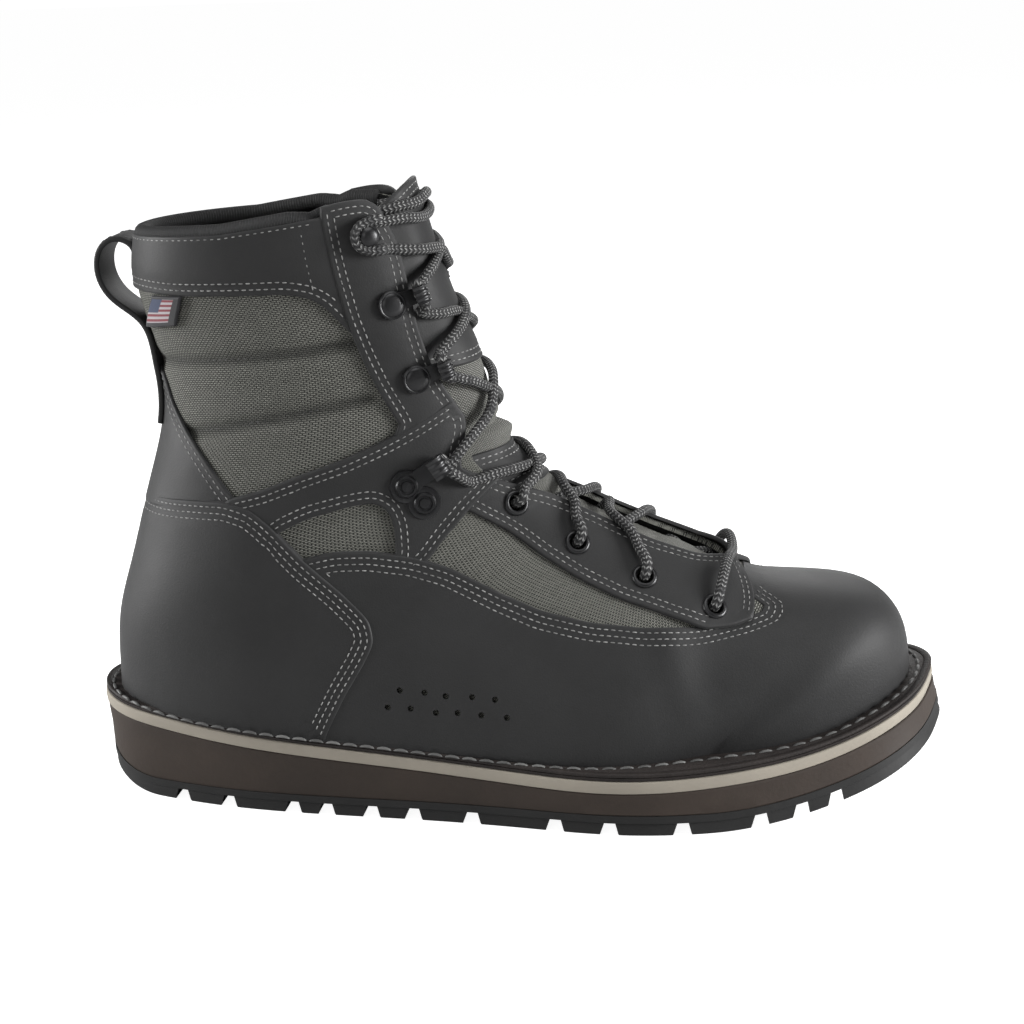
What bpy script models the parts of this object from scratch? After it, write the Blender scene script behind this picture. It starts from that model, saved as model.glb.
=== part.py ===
"""Right wading boot: leather and textile upper on a stitched, lugged rubber sole.

Sizes are in millimetres and angles in degrees; mesh points are written in metres.
While modelling, X runs from the back of the sole to the toe, -Y is the outer side
of the foot, Z is up from the floor. The finished boot hangs on one empty that
centres it over the origin.
"""
import math
from collections import namedtuple

import bmesh
import bpy
import numpy as np
from mathutils import Vector
from mathutils.geometry import delaunay_2d_cdt

MM = 0.001

# Lengths, widths and heights of the foot form and the sole
SOLE_LENGTH = 312.0
BALL_WIDTH = 114.0
HEEL_WIDTH = 80.0
SHAFT_WIDTH = 66.0
TOE_HEIGHT = 74.0
INSTEP_HEIGHT = 115.0
COLLAR_HEIGHT = 206.0
HEEL_STACK = 35.8
BALL_STACK = 19.8
TOE_STACK = 40.0
TOE_SPRING = 21.0
HEEL_BEVEL = 8.0

# Thicknesses of the sole's layers
WELT = 2.8
SLIP = 4.6
OUTSOLE = 7.2
LUG_DEPTH = 4.6
INSOLE = 3.5

# Walls, overlays and the gap that touching pieces keep
WALL = 2.4
GAP = 0.35
PANEL_GAP = 0.55
SEAM_GAP = 0.6
COUNTER = 2.0
VAMP = 1.6
STRAP = 1.3
EYESTAY = 1.7
CUFF = 1.6
BACKSTAY = 1.2
LABEL = 1.0
TONGUE = 3.2
COLLAR_ROLL = 2.4
WELT_WIDTH = 17.0
PULL_LOOP_WIDTH = 20.0
PULL_LOOP = 2.8

# Hardware and lace
EYELET_RADIUS = 4.1
EYELET_HOLE = 2.4
EYELET_HEIGHT = 1.1
HOOK_STUD = 4.4
HOOK_WIDTH = 6.6
HOOK_PLATE = 1.2
HOOK_RISE = 6.0
CORD_STEP = 9.0
LACE_RADIUS = 2.1
LACE_LIFT = 3.9
LACE_OVER_EDGE = 1.2
LACE_CLEAR_EYELET = 8.0
LACE_CLEAR_HOOK = 17.0
TONGUE_CROWN = 1.0
TONGUE_WING = 8.0
TONGUE_TOP = -0.014
TONGUE_END = 0.80
TONGUE_STEP = (0.58, 0.90)
LOOP_TAIL = (0.085, 0.137)

# How finely the curved walls are divided
ROW_COUNT = 24
STEP_COUNT = 24
SOLE_STATIONS = 28

# Each section is a flat ring. In the side view it runs from a back or bottom point to
# a front or top point. X is a share of the sole's length. A level is 0 at the floor,
# 1 at the toe height, 2 at the instep height and 3 at the collar height. The half
# widths are shares of the width that wide picks: 0 ball, 1 heel, 2 shaft.
Section = namedtuple("Section", "front_x front_level front_y back_x back_level "
                     "lateral medial wide widest back_power front_power")
SECTIONS = (
    Section(.404, 3.14, .000, .083, 3.00, .53, .47, 2.0, .50, 2.20, 2.10),
    Section(.423, 2.91, .000, .076, 2.80, .53, .47, 2.0, .50, 2.10, 2.10),
    Section(.447, 2.67, .000, .090, 2.57, .515, .47, 2.0, .50, 2.00, 2.10),
    Section(.471, 2.47, .000, .099, 2.36, .51, .48, 2.0, .48, 1.95, 2.10),
    Section(.482, 2.29, .002, .092, 2.18, .51, .49, 2.0, .46, 1.95, 2.10),
    Section(.500, 2.15, .003, .071, 1.88, .51, .50, 1.9, .44, 2.00, 2.10),
    Section(.522, 2.06, .005, .046, 1.24, .50, .485, 1.5, .42, 2.10, 2.05),
    Section(.545, 2.00, .006, .028, .865, .495, .475, 1.2, .42, 2.20, 2.00),
    Section(.567, 1.89, .008, .024, .570, .495, .465, 1.0, .42, 2.30, 1.95),
    Section(.593, 1.77, .010, .038, .200, .49, .42, .80, .42, 2.30, 1.95),
    Section(.622, 1.66, .011, .160, .040, .48, .395, .60, .36, 2.30, 1.95),
    Section(.657, 1.54, .013, .304, -.04, .475, .38, .40, .33, 2.30, 1.95),
    Section(.692, 1.40, .015, .433, -.07, .475, .38, .20, .31, 2.30, 2.00),
    Section(.734, 1.22, .016, .529, -.08, .46, .395, .00, .31, 2.30, 2.10),
    Section(.779, 1.04, .019, .583, -.11, .445, .415, .00, .31, 2.30, 2.25),
    Section(.824, .99, .022, .603, -.13, .425, .425, .00, .33, 2.30, 2.40),
    Section(.865, .97, .026, .603, -.16, .41, .425, .00, .36, 2.30, 2.50),
    Section(.901, .94, .029, .590, -.19, .405, .42, .00, .40, 2.30, 2.50),
    Section(.928, .88, .030, .571, -.22, .41, .42, .00, .42, 2.30, 2.45),
    Section(.946, .79, .032, .545, -.24, .415, .415, .00, .42, 2.30, 2.35),
    Section(.955, .68, .032, .506, -.27, .42, .41, .00, .44, 2.30, 2.25),
    Section(.958, .55, .032, .465, -.30, .43, .41, .00, .46, 2.30, 2.20),
    Section(.958, .41, .032, .423, -.32, .435, .41, .00, .48, 2.30, 2.20),
)

# The sole's edge from above: X share, half widths as shares of the width at wide
Edge = namedtuple("Edge", "x lateral medial wide")
SOLE_EDGE = (
    Edge(.000, .000, .000, 1.0), Edge(.012, .180, .180, 1.0), Edge(.040, .307, .307, 1.0),
    Edge(.090, .402, .402, 1.0), Edge(.170, .495, .485, 1.0), Edge(.280, .520, .455, .80),
    Edge(.400, .505, .405, .50), Edge(.520, .510, .390, .20), Edge(.620, .520, .420, .00),
    Edge(.700, .506, .460, .00), Edge(.780, .450, .475, .00), Edge(.860, .365, .448, .00),
    Edge(.930, .262, .385, .00), Edge(.972, .140, .295, .00), Edge(.993, -.005, .190, .00),
    Edge(1.00, -.090, .090, .00),
)

# Top of the slip layer along the foot: X share, share of the heel, ball and toe stacks
Top = namedtuple("Top", "x heel ball toe")
SLIP_TOP = (
    Top(.00, 1.0, .00, .00), Top(.19, .57, .43, .00), Top(.385, .25, .75, .00),
    Top(.577, .00, 1.0, .00), Top(.74, .00, 1.0, .03), Top(.865, .00, .70, .31),
    Top(.945, .00, .25, .73), Top(1.0, .00, .00, 1.0),
)

# Side-view lines of the upper's panels, each as X share and level
COLLAR_LINE = ((.03, 2.945), (.20, 2.975), (.302, 3.03), (.309, 3.09), (.365, 3.125))
THROAT_LINE = ((.372, 3.08), (.383, 2.99), (.390, 2.87), (.397, 2.74), (.404, 2.63),
               (.415, 2.51), (.428, 2.41), (.451, 2.27), (.455, 2.18), (.463, 2.10),
               (.474, 2.05), (.489, 2.01), (.510, 1.96), (.540, 1.87), (.580, 1.71),
               (.620, 1.56), (.660, 1.42), (.700, 1.30), (.735, 1.20), (.757, 1.10),
               (.772, 1.00), (.778, .97))
CUFF_LINE = ((.03, 2.79), (.14, 2.775), (.20, 2.78), (.26, 2.79), (.325, 2.795))
EYESTAY_BACK = ((.309, 3.14), (.314, 2.99), (.321, 2.85), (.333, 2.68), (.346, 2.55),
                (.362, 2.42), (.384, 2.27))
STRAP_TOP = ((.190, 1.97), (.227, 2.02), (.271, 2.08), (.319, 2.135), (.360, 2.195),
             (.399, 2.26), (.431, 2.325), (.439, 2.34))
WINDOW_EDGE = ((.244, 1.70), (.281, 1.83), (.327, 1.92), (.353, 1.945), (.368, 1.88),
               (.376, 1.74), (.377, 1.50))
LOWER_FRONT = ((.470, 2.06), (.465, 1.87), (.500, 1.62), (.541, 1.39), (.580, 1.21),
               (.626, 1.05), (.670, .97), (.703, .915), (.712, .897))
BACKSTAY_FRONT = ((.100, 2.46), (.108, 2.43), (.117, 2.34), (.136, 2.24), (.161, 2.13),
                  (.186, 2.02), (.196, 1.97))
COUNTER_TOP = ((.03, 1.90), (.105, 1.91), (.140, 1.93), (.185, 1.945), (.215, 1.885),
               (.235, 1.76))
# Share of the sole's length where the counter's front seam reaches the welt
SEAM_FOOT = 0.290
COUNTER_FRONT = ((.235, 1.76), (.272, 1.46), (.312, 1.19), (.345, .96), (.350, .86),
                 (.338, .76), (.316, .61), (.300, .48), (SEAM_FOOT, .396))
VAMP_TOP = ((.255, 1.60), (.270, 1.46), (.307, 1.52), (.346, 1.52), (.392, 1.46),
            (.435, 1.34), (.493, 1.11), (.538, .98), (.594, .925), (.650, .905),
            (.717, .895), (.766, .905), (.788, .94), (.784, .985), (.800, 1.05))
LABEL_CORNERS = ((.114, 2.765), (.150, 2.77), (.139, 2.66), (.097, 2.635))

# Lacing points on the outer side, each as X share and level
EYELETS = ((.507, 1.83), (.576, 1.47), (.653, 1.23), (.730, 1.02))
HOOKS = ((.354, 2.98), (.378, 2.72), (.402, 2.44))
LOCK_HOOK = (.397, 2.02)

# Second rivet of the lock hook from its first: forward and up
LOCK_RIVET = (-1.5, -6.8)

# Centres of the side notches between the lugs, as shares of the sole's length
NOTCHES = (.110, .169, .248, .288, .341, .390, .458, .553, .614, .695, .781, .827, .866)
NOTCH_WIDTH = 3.6
NOTCH_REACH = 15.0
CENTRE_GROOVE = 3.2

# Side-view path of the pull loop's middle: X and Z from the back of the collar
LOOP_PATH = ((-5.4, -9), (-5.4, -3), (-7, 1.4), (-10.8, 2.4), (-14.2, -1), (-15.6, -8),
             (-14.8, -16), (-11.4, -23.5), (-6, -29))


def spline(knots, values, at):
    """Natural cubic through the values at the knots, read at the given places."""
    knots = np.asarray(knots, float)
    values = np.asarray(values, float)
    count = len(knots)
    step = np.diff(knots)
    matrix = np.zeros((count, count))
    right = np.zeros((count,) + values.shape[1:])
    matrix[0, 0] = matrix[-1, -1] = 1.0
    for i in range(1, count - 1):
        matrix[i, i - 1:i + 2] = step[i - 1], 2 * (step[i - 1] + step[i]), step[i]
        right[i] = 6 * ((values[i + 1] - values[i]) / step[i]
                        - (values[i] - values[i - 1]) / step[i - 1])
    bend = np.linalg.solve(matrix, right)
    at = np.asarray(at, float)
    low = np.clip(np.searchsorted(knots, at, side="right") - 1, 0, count - 2)
    along = at - knots[low]
    width = step[low]
    if values.ndim > 1:
        along = along[..., None]
        width = width[..., None]
    cubic = (bend[low + 1] - bend[low]) / (6 * width)
    slope = (values[low + 1] - values[low]) / width - width * (2 * bend[low] + bend[low + 1]) / 6
    return values[low] + along * (slope + along * (bend[low] / 2 + along * cubic))


def height(level):
    """Height of a level: floor, toe, instep and collar are 0, 1, 2 and 3."""
    marks = [0.0, TOE_HEIGHT, INSTEP_HEIGHT, COLLAR_HEIGHT]
    level = np.asarray(level, float)
    base = np.interp(level, [0, 1, 2, 3], marks)
    below = np.minimum(level, 0) * TOE_HEIGHT
    above = np.maximum(level - 3, 0) * (COLLAR_HEIGHT - INSTEP_HEIGHT)
    return base + below + above


def width_at(wide):
    """Width that a share refers to: 0 ball, 1 heel, 2 shaft."""
    return np.interp(wide, [0, 1, 2], [BALL_WIDTH, HEEL_WIDTH, SHAFT_WIDTH])


def section_table():
    """Sections in millimetres, one row each, in the order of the columns."""
    rows = []
    for s in SECTIONS:
        width = float(width_at(s.wide))
        rows.append((s.front_x * SOLE_LENGTH, float(height(s.front_level)),
                     s.front_y * SOLE_LENGTH, s.back_x * SOLE_LENGTH,
                     float(height(s.back_level)), s.lateral * width, s.medial * width,
                     s.widest, s.back_power, s.front_power))
    return np.array(rows)


TABLE = section_table()
REACH = np.concatenate([[0], np.cumsum(np.maximum(
    0.5 * np.linalg.norm(np.diff(TABLE[:, 0:2], axis=0), axis=1)
    + 0.5 * np.linalg.norm(np.diff(TABLE[:, 3:5], axis=0), axis=1), 4.0))])
GIRTH = 230.0


def last_point(v, u):
    """Outside of the upper. v runs from collar to toe, u round from back to front.

    u is 0 at the back or bottom, below 0.5 on the outer side and 0.5 at the front.
    """
    v = np.asarray(v, float)
    u = np.asarray(u, float)
    row = spline(REACH, TABLE, v * REACH[-1])
    fx, fz, fy, bx, bz, lateral, medial, widest, back_power, front_power = (
        row[..., i] for i in range(10))
    c = np.cos(2 * np.pi * u)
    s = np.sin(2 * np.pi * u)
    power = np.where(c > 0, back_power, front_power)
    ahead = np.abs(c) ** (2 / power)
    aside = np.abs(s) ** (2 / power)
    share = np.where(c > 0, widest * (1 - ahead), widest + (1 - widest) * ahead)
    y = fy * share + np.where(s > 0, -lateral, medial) * aside
    return np.stack([bx + (fx - bx) * share, y, bz + (fz - bz) * share], -1)


def last_normal(v, u):
    """Outward direction of the upper's outside."""
    dv = 0.002
    du = 0.004
    along = last_point(np.asarray(v) + dv, u) - last_point(np.asarray(v) - dv, u)
    around = last_point(v, np.asarray(u) + du) - last_point(v, np.asarray(u) - du)
    normal = np.cross(along, around)
    return normal / np.maximum(np.linalg.norm(normal, axis=-1, keepdims=True), 1e-9)


def wall_point(v, u, out):
    """Point at a distance outside the upper's outer face."""
    return last_point(v, u) + last_normal(v, u) * np.asarray(out, float)[..., None]


SCAN = np.linspace(-0.02, 1.0, 3001)
SCAN_ROWS = spline(REACH, TABLE, SCAN * REACH[-1])


def look_up(x, z):
    """Row v, share along the row's line and u that the side view shows at x, z.

    The share is below 0 behind the boot's back line and above 1 ahead of its front line.
    """
    front = SCAN_ROWS[:, 0:2]
    back = SCAN_ROWS[:, 3:5]
    line = front - back
    point = np.array([x, z]) - back
    side = line[:, 0] * point[:, 1] - line[:, 1] * point[:, 0]
    share = (line * point).sum(1) / (line * line).sum(1)
    crossing = np.nonzero(side[:-1] * side[1:] <= 0)[0]
    if len(crossing) == 0:
        crossing = np.array([int(np.argmin(np.abs(side)))])
    miss = np.maximum(np.maximum(-share[crossing], share[crossing] - 1), 0)
    i = int(crossing[int(np.argmin(miss))])
    j = min(i + 1, len(SCAN) - 1)
    mix = side[i] / (side[i] - side[j]) if side[i] != side[j] else 0.0
    v = SCAN[i] + (SCAN[j] - SCAN[i]) * mix
    raw = float(share[i] + (share[j] - share[i]) * mix)
    s = min(max(raw, 0.0), 1.0)
    widest, back_power, front_power = SCAN_ROWS[i, 7:10]
    if s < widest:
        c = (1 - s / widest) ** (back_power / 2)
    else:
        c = -(((s - widest) / (1 - widest)) ** (front_power / 2))
    return v, raw, math.acos(max(-1.0, min(1.0, c))) / (2 * math.pi)


def find(x, z):
    """Place (v, u) on the outer side that the side view shows at x, z."""
    v, _, u = look_up(x, z)
    return v, u


def slip_top(x):
    """Height of the top of the slip layer at x."""
    share = np.array([t.x for t in SLIP_TOP])
    z = np.array([t.heel * HEEL_STACK + t.ball * BALL_STACK + t.toe * TOE_STACK
                  for t in SLIP_TOP])
    return spline(share, z, np.clip(np.asarray(x, float) / SOLE_LENGTH, -0.05, 1.05))


def floor_line(x):
    """Height of the tread: heel bevel, flat, then toe spring."""
    share = np.asarray(x, float) / SOLE_LENGTH
    bevel = np.clip((0.08 - share) / 0.08, 0, 1.1)
    spring = np.clip((share - 0.72) / 0.28, 0, 1.1)
    return HEEL_BEVEL * bevel ** 2 + TOE_SPRING * spring ** 2


def midsole_top(x):
    return slip_top(x) - SLIP


def outsole_top(x):
    return floor_line(x) + OUTSOLE


def welt_top(x):
    return slip_top(x) + WELT


def feather(x):
    """Height at which the upper stands on the welt."""
    return welt_top(x) + GAP


def side_lean(x, z):
    """How far the sole's side moves inwards below its top: in at the heel, out at the toe."""
    depth = (slip_top(x) - z) / HEEL_STACK
    share = np.asarray(x, float) / SOLE_LENGTH
    return depth * np.interp(share, [0, .30, .60, .86, 1.0], [2.0, .6, -1.0, -4.5, -7.0])


def sole_loop(inset=0.0, stations=SOLE_STATIONS):
    """Outer and inner side of the sole's outline, heel to toe, moved inwards by inset."""
    widths = width_at([e.wide for e in SOLE_EDGE])
    outer = [(e.x * SOLE_LENGTH, -e.lateral * w) for e, w in zip(SOLE_EDGE, widths)]
    inner = [(e.x * SOLE_LENGTH, e.medial * w) for e, w in zip(SOLE_EDGE, widths)]
    ring = outer + inner[-2:0:-1]
    count = len(ring)
    wrapped = np.array(ring[-4:] + ring + ring[:5])
    reach = np.concatenate([[0], np.cumsum(np.linalg.norm(np.diff(wrapped, axis=0), axis=1))])
    reach = reach - reach[4]
    toe = reach[4 + len(outer) - 1]
    period = reach[4 + count]
    sides = []
    for end in (0.0, period):
        at = np.linspace(end, toe, stations + 1)
        ahead = spline(reach, wrapped, at + 0.4)
        behind = spline(reach, wrapped, at - 0.4)
        along = (ahead - behind) / np.linalg.norm(ahead - behind, axis=1, keepdims=True)
        inward = np.stack([-along[:, 1], along[:, 0]], -1)
        place = spline(reach, wrapped, at)
        amount = inset(place[:, 0]) if callable(inset) else np.full(len(at), float(inset))
        sides.append(place + inward * amount[:, None])
    sides[1][0] = sides[0][0] = (sides[0][0] + sides[1][0]) / 2
    sides[1][-1] = sides[0][-1] = (sides[0][-1] + sides[1][-1]) / 2
    return sides


FEATHER_U = np.linspace(0, 0.5, 121)


def feather_rows():
    """Row v at which each step round the outer side meets the welt."""
    v = np.linspace(0.05, 1.0, 700)
    grid = last_point(v[:, None], FEATHER_U[None, :])
    above = grid[..., 2] - feather(grid[..., 0])
    rows = []
    for k in range(len(FEATHER_U)):
        low = np.nonzero(above[:, k] <= 0)[0]
        i = max(int(low[0]), 1) if len(low) else len(v) - 1
        mix = above[i - 1, k] / (above[i - 1, k] - above[i, k] + 1e-12)
        rows.append(v[i - 1] + (v[i] - v[i - 1]) * min(max(mix, 0), 1))
    return np.array(rows)


FEATHER_V = feather_rows()


def feather_row(u):
    """Row v of the welt at any u, the same on both sides."""
    u = np.asarray(u, float)
    return np.interp(np.minimum(u, 1 - u), FEATHER_U, FEATHER_V)


def feather_loop(inset, stations=SOLE_STATIONS):
    """Outer and inner side of the upper's foot on the welt, moved inwards by inset."""
    sides = []
    for sign in (1, -1):
        u = np.linspace(0, 0.5, 241)
        around = u if sign > 0 else 1 - u
        line = last_point(feather_row(around), around)[:, :2]
        ahead = np.gradient(line, axis=0)
        ahead /= np.maximum(np.linalg.norm(ahead, axis=1, keepdims=True), 1e-9)
        ahead[0] = ahead[-1] = (0.0, -sign)
        ahead[-1] = (0.0, sign)
        inward = np.stack([-ahead[:, 1], ahead[:, 0]], -1) * sign
        moved = line + inward * inset
        reach = np.concatenate([[0], np.cumsum(np.linalg.norm(np.diff(moved, axis=0), axis=1))])
        at = np.linspace(0, reach[-1], stations + 1)
        sides.append(np.stack([np.interp(at, reach, moved[:, k]) for k in (0, 1)], -1))
    sides[1][0] = sides[0][0] = (sides[0][0] + sides[1][0]) / 2
    sides[1][-1] = sides[0][-1] = (sides[0][-1] + sides[1][-1]) / 2
    return sides


def material(name, colour, roughness, metallic=0.0):
    """Plain surface with the piece's own colour and gloss."""
    made = bpy.data.materials.new(name)
    made.use_nodes = True
    shader = made.node_tree.nodes["Principled BSDF"]
    shader.inputs["Base Color"].default_value = (*colour, 1.0)
    shader.inputs["Roughness"].default_value = roughness
    shader.inputs["Metallic"].default_value = metallic
    made.diffuse_color = (*colour, 1.0)
    return made


def add_piece(name, points, faces, look, crease=32.0, merge=False):
    """Closed mesh object from points in millimetres. merge joins faces that lie flat."""
    work = bmesh.new()
    verts = [work.verts.new(Vector(p) * MM) for p in points]
    for face in faces:
        if len(set(face)) > 2:
            try:
                work.faces.new([verts[i] for i in face])
            except ValueError:
                continue
    bmesh.ops.remove_doubles(work, verts=work.verts, dist=1e-6)
    bmesh.ops.dissolve_degenerate(work, edges=work.edges, dist=1e-7)
    bmesh.ops.recalc_face_normals(work, faces=work.faces)
    if merge:
        bmesh.ops.dissolve_limit(work, angle_limit=math.radians(0.3), verts=work.verts,
                                 edges=work.edges)
        bmesh.ops.triangulate(work, faces=work.faces)
    mesh = bpy.data.meshes.new(name)
    work.to_mesh(mesh)
    work.free()
    mesh.shade_smooth()
    mesh.set_sharp_from_angle(angle=math.radians(crease))
    piece = bpy.data.objects.new(name, mesh)
    piece.data.materials.append(look)
    bpy.context.scene.collection.objects.link(piece)
    return piece


def plate(name, layers, look, across=2):
    """Closed layer of the sole. Layers run from top to bottom: outline sides, height."""
    points = []
    faces = []
    grids = []
    for sides, rise in layers:
        outer, inner = sides
        grid = []
        for a, b in zip(outer, inner):
            row = []
            for k in range(across + 1):
                x, y = a + (b - a) * k / across
                row.append(len(points))
                points.append((x, y, float(rise(x))))
            grid.append(row)
        grids.append(grid)
    for grid in (grids[0], grids[-1]):
        for i in range(len(grid) - 1):
            for k in range(across):
                faces.append((grid[i][k], grid[i + 1][k], grid[i + 1][k + 1], grid[i][k + 1]))
    for upper, lower in zip(grids, grids[1:]):
        for i in range(len(upper) - 1):
            for k in (0, across):
                faces.append((upper[i][k], upper[i + 1][k], lower[i + 1][k], lower[i][k]))
    return add_piece(name, points, faces, look)


def layer(rise, inset=0.0):
    """One level of the sole: its leaned outline and its height."""
    return sole_loop(lambda x: side_lean(x, rise(x)) + inset), rise


def ring_plate(name, rise, thick, look):
    """Strip that follows the sole's outline, open in the middle."""
    outer = sole_loop()
    inner = sole_loop(WELT_WIDTH)
    loops = []
    for sides in (outer, inner):
        loop = list(sides[0]) + list(sides[1][-2:0:-1])
        loops.append(loop)
    count = len(loops[0])
    corners = ((0, thick), (1, thick), (1, 0.0), (0, 0.0))
    points = []
    for which, lift in corners:
        points += [(x, y, float(rise(x)) + lift) for x, y in loops[which]]
    faces = []
    for k in range(4):
        a = k * count
        b = ((k + 1) % 4) * count
        faces += [(a + i, a + (i + 1) % count, b + (i + 1) % count, b + i)
                  for i in range(count)]
    return add_piece(name, points, faces, look)


def side_view(line):
    """Points of a side-view line in millimetres."""
    return [(x * SOLE_LENGTH, float(height(level))) for x, level in line]


def welt_run(start, end, steps=24):
    """Side-view line just under the welt, between two shares of the sole's length."""
    x = np.linspace(start, end, steps) * SOLE_LENGTH
    return list(zip(x, feather(x) - WELT))


def densify(points, step, closed=True):
    """Extra points so that no stretch is longer than step."""
    out = []
    pairs = list(zip(points, points[1:] + points[:1])) if closed else list(zip(points, points[1:]))
    for (ax, az), (bx, bz) in pairs:
        parts = max(1, int(math.ceil(math.hypot(bx - ax, bz - az) / step)))
        out += [(ax + (bx - ax) * k / parts, az + (bz - az) * k / parts) for k in range(parts)]
    return out if closed else out + [points[-1]]


def shrink(points, inset):
    """Closed outline moved inwards, with mitred corners."""
    turn = sum(a[0] * b[1] - b[0] * a[1] for a, b in zip(points, points[1:] + points[:1]))
    sign = 1.0 if turn > 0 else -1.0
    out = []
    for i, here in enumerate(points):
        before = Vector(here) - Vector(points[i - 1])
        after = Vector(points[(i + 1) % len(points)]) - Vector(here)
        left = [Vector((-d.y, d.x)).normalized() * sign for d in (before, after)]
        mean = left[0] + left[1]
        if mean.length < 0.2:
            mean = left[0]
        mean.normalize()
        scale = min(1.0 / max(mean.dot(left[0]), 0.3), 2.0)
        out.append((here[0] + mean.x * inset * scale, here[1] + mean.y * inset * scale))
    return out


def trace(points, closed=True):
    """Places (v, u) of a side-view line on the outer side.

    The line is kept above the welt, and cut off where it leaves the boot's back line
    (u 0) or front line (u 0.5).
    """
    points = [Vector((x, max(z, float(feather(x))))) for x, z in points]
    marks = [look_up(*p) for p in points]
    places = []
    for i in range(len(points) if closed else len(points) - 1):
        j = (i + 1) % len(points)
        if 0 < marks[i][1] < 1:
            places.append((marks[i][0], marks[i][2]))
        if (0 < marks[i][1] < 1) == (0 < marks[j][1] < 1):
            continue
        inside, outside = (i, j) if 0 < marks[i][1] < 1 else (j, i)
        near, far = points[inside], points[outside]
        for _ in range(24):
            middle = (near + far) / 2
            share = look_up(*middle)[1]
            if 0 < share < 1:
                near = middle
            else:
                far = middle
        end = look_up(*near)
        run = []
        for q in (0.75, 0.5, 0.25):
            v, _, u = look_up(*(near + (points[inside] - near) * q * q))
            run.append((v, u))
        run.append((end[0], 0.0 if end[1] < 0.5 else 0.5))
        places += run if inside == i else run[::-1]
    if not closed and 0 < marks[-1][1] < 1:
        places.append((marks[-1][0], marks[-1][2]))
    return places


def half_outline(points, inset, step):
    """Side-view outline as places (v, u) on the outer side, closed along its middle line."""
    places = []
    for v, u in trace(densify(shrink(points, inset), step)):
        gap = 0.0
        if places:
            gap = math.hypot((v - places[-1][0]) * REACH[-1], (u - places[-1][1]) * GIRTH)
        if not places or gap > 0.2 * step:
            places.append((v, u))
        elif u in (0.0, 0.5):
            places[-1] = (v, u)
    filled = []
    for here, there in zip(places, places[1:] + places[:1]):
        filled.append(here)
        if here[1] == there[1] and here[1] in (0.0, 0.5):
            parts = int(abs(there[0] - here[0]) * REACH[-1] / step)
            filled += [(here[0] + (there[0] - here[0]) * k / parts, here[1])
                       for k in range(1, parts)]
    return filled


def within(ring, point):
    """Whether a point lies inside a closed outline."""
    after = np.roll(ring, -1, axis=0)
    crosses = (ring[:, 1] > point[1]) != (after[:, 1] > point[1])
    rise = np.where(crosses, after[:, 1] - ring[:, 1], 1.0)
    at = ring[:, 0] + (point[1] - ring[:, 1]) * (after[:, 0] - ring[:, 0]) / rise
    return np.count_nonzero(crosses & (at > point[0])) % 2 == 1


def triangulate(outline, lines=()):
    """Triangles inside an outline of places, cut along the edges of the upper's grid.

    Every panel is cut from the same grid, so facets that lie over each other match.
    """
    cell = np.array([1 / ROW_COUNT, 1 / STEP_COUNT])
    ring = np.array(outline)
    low = np.floor(ring.min(axis=0) / cell - 0.01).astype(int)
    high = np.ceil(ring.max(axis=0) / cell + 0.01).astype(int)
    points = [tuple(p) for p in ring]
    number = {}
    for i in range(low[0], high[0] + 1):
        for k in range(max(low[1], 0), min(high[1], STEP_COUNT // 2) + 1):
            number[(i, k)] = len(points)
            points.append((i * cell[0], k * cell[1]))
    edges = []
    for (i, k), here in number.items():
        edges += [(here, number[there]) for there in ((i + 1, k), (i, k + 1), (i + 1, k + 1))
                  if there in number]
    for line in lines:
        first = len(points)
        points += [tuple(p) for p in line]
        edges += [(first + i, first + i + 1) for i in range(len(line) - 1)]
    scale = np.array([REACH[-1], GIRTH])
    edges += [(i, (i + 1) % len(ring)) for i in range(len(ring))]
    made = delaunay_2d_cdt([Vector(np.array(p) * scale) for p in points], edges, [], 0, 1e-3)
    places = np.array([(p.x, p.y) for p in made[0]]) / scale
    kept = [tuple(face) for face in made[2]
            if within(ring * scale, (places[list(face)] * scale).mean(axis=0))]
    used = sorted({i for face in kept for i in face})
    order = {old: new for new, old in enumerate(used)}
    return places[used], [tuple(order[i] for i in face) for face in kept]


def grid_point(v, u, out):
    """Point over the grid's flat facets, at a distance outside the upper's outer face."""
    v = np.asarray(v, float)
    u = np.asarray(u, float)
    out = np.broadcast_to(np.asarray(out, float), v.shape)
    medial = u > 0.5
    half = np.where(medial, 1 - u, u)
    row = np.floor(v * ROW_COUNT + 1e-7)
    step = np.minimum(np.floor(half * STEP_COUNT + 1e-7), STEP_COUNT // 2 - 1)
    down = v * ROW_COUNT - row
    round_ = half * STEP_COUNT - step

    def corner(di, dk):
        place = (step + dk) / STEP_COUNT
        return wall_point((row + di) / ROW_COUNT, np.where(medial, 1 - place, place), out)

    first = (1 - np.maximum(down, round_))[..., None] * corner(0, 0)
    last = np.minimum(down, round_)[..., None] * corner(1, 1)
    lower = np.maximum(down - round_, 0)[..., None] * corner(1, 0)
    upper = np.maximum(round_ - down, 0)[..., None] * corner(0, 1)
    return first + last + lower + upper


def both_sides(places, faces):
    """The outer side's triangles with their mirror, joined along back and front."""
    places = np.array(places)
    places[np.abs(places[:, 1]) < 1e-5, 1] = 0.0
    places[np.abs(places[:, 1] - 0.5) < 1e-5, 1] = 0.5
    twin = {}
    all_places = list(map(tuple, places))
    for i, (v, u) in enumerate(places):
        if u in (0.0, 0.5):
            twin[i] = i
        else:
            twin[i] = len(all_places)
            all_places.append((v, 1 - u))
    mirrored = [tuple(twin[i] for i in reversed(face)) for face in faces]
    return np.array(all_places), list(faces) + mirrored


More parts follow.
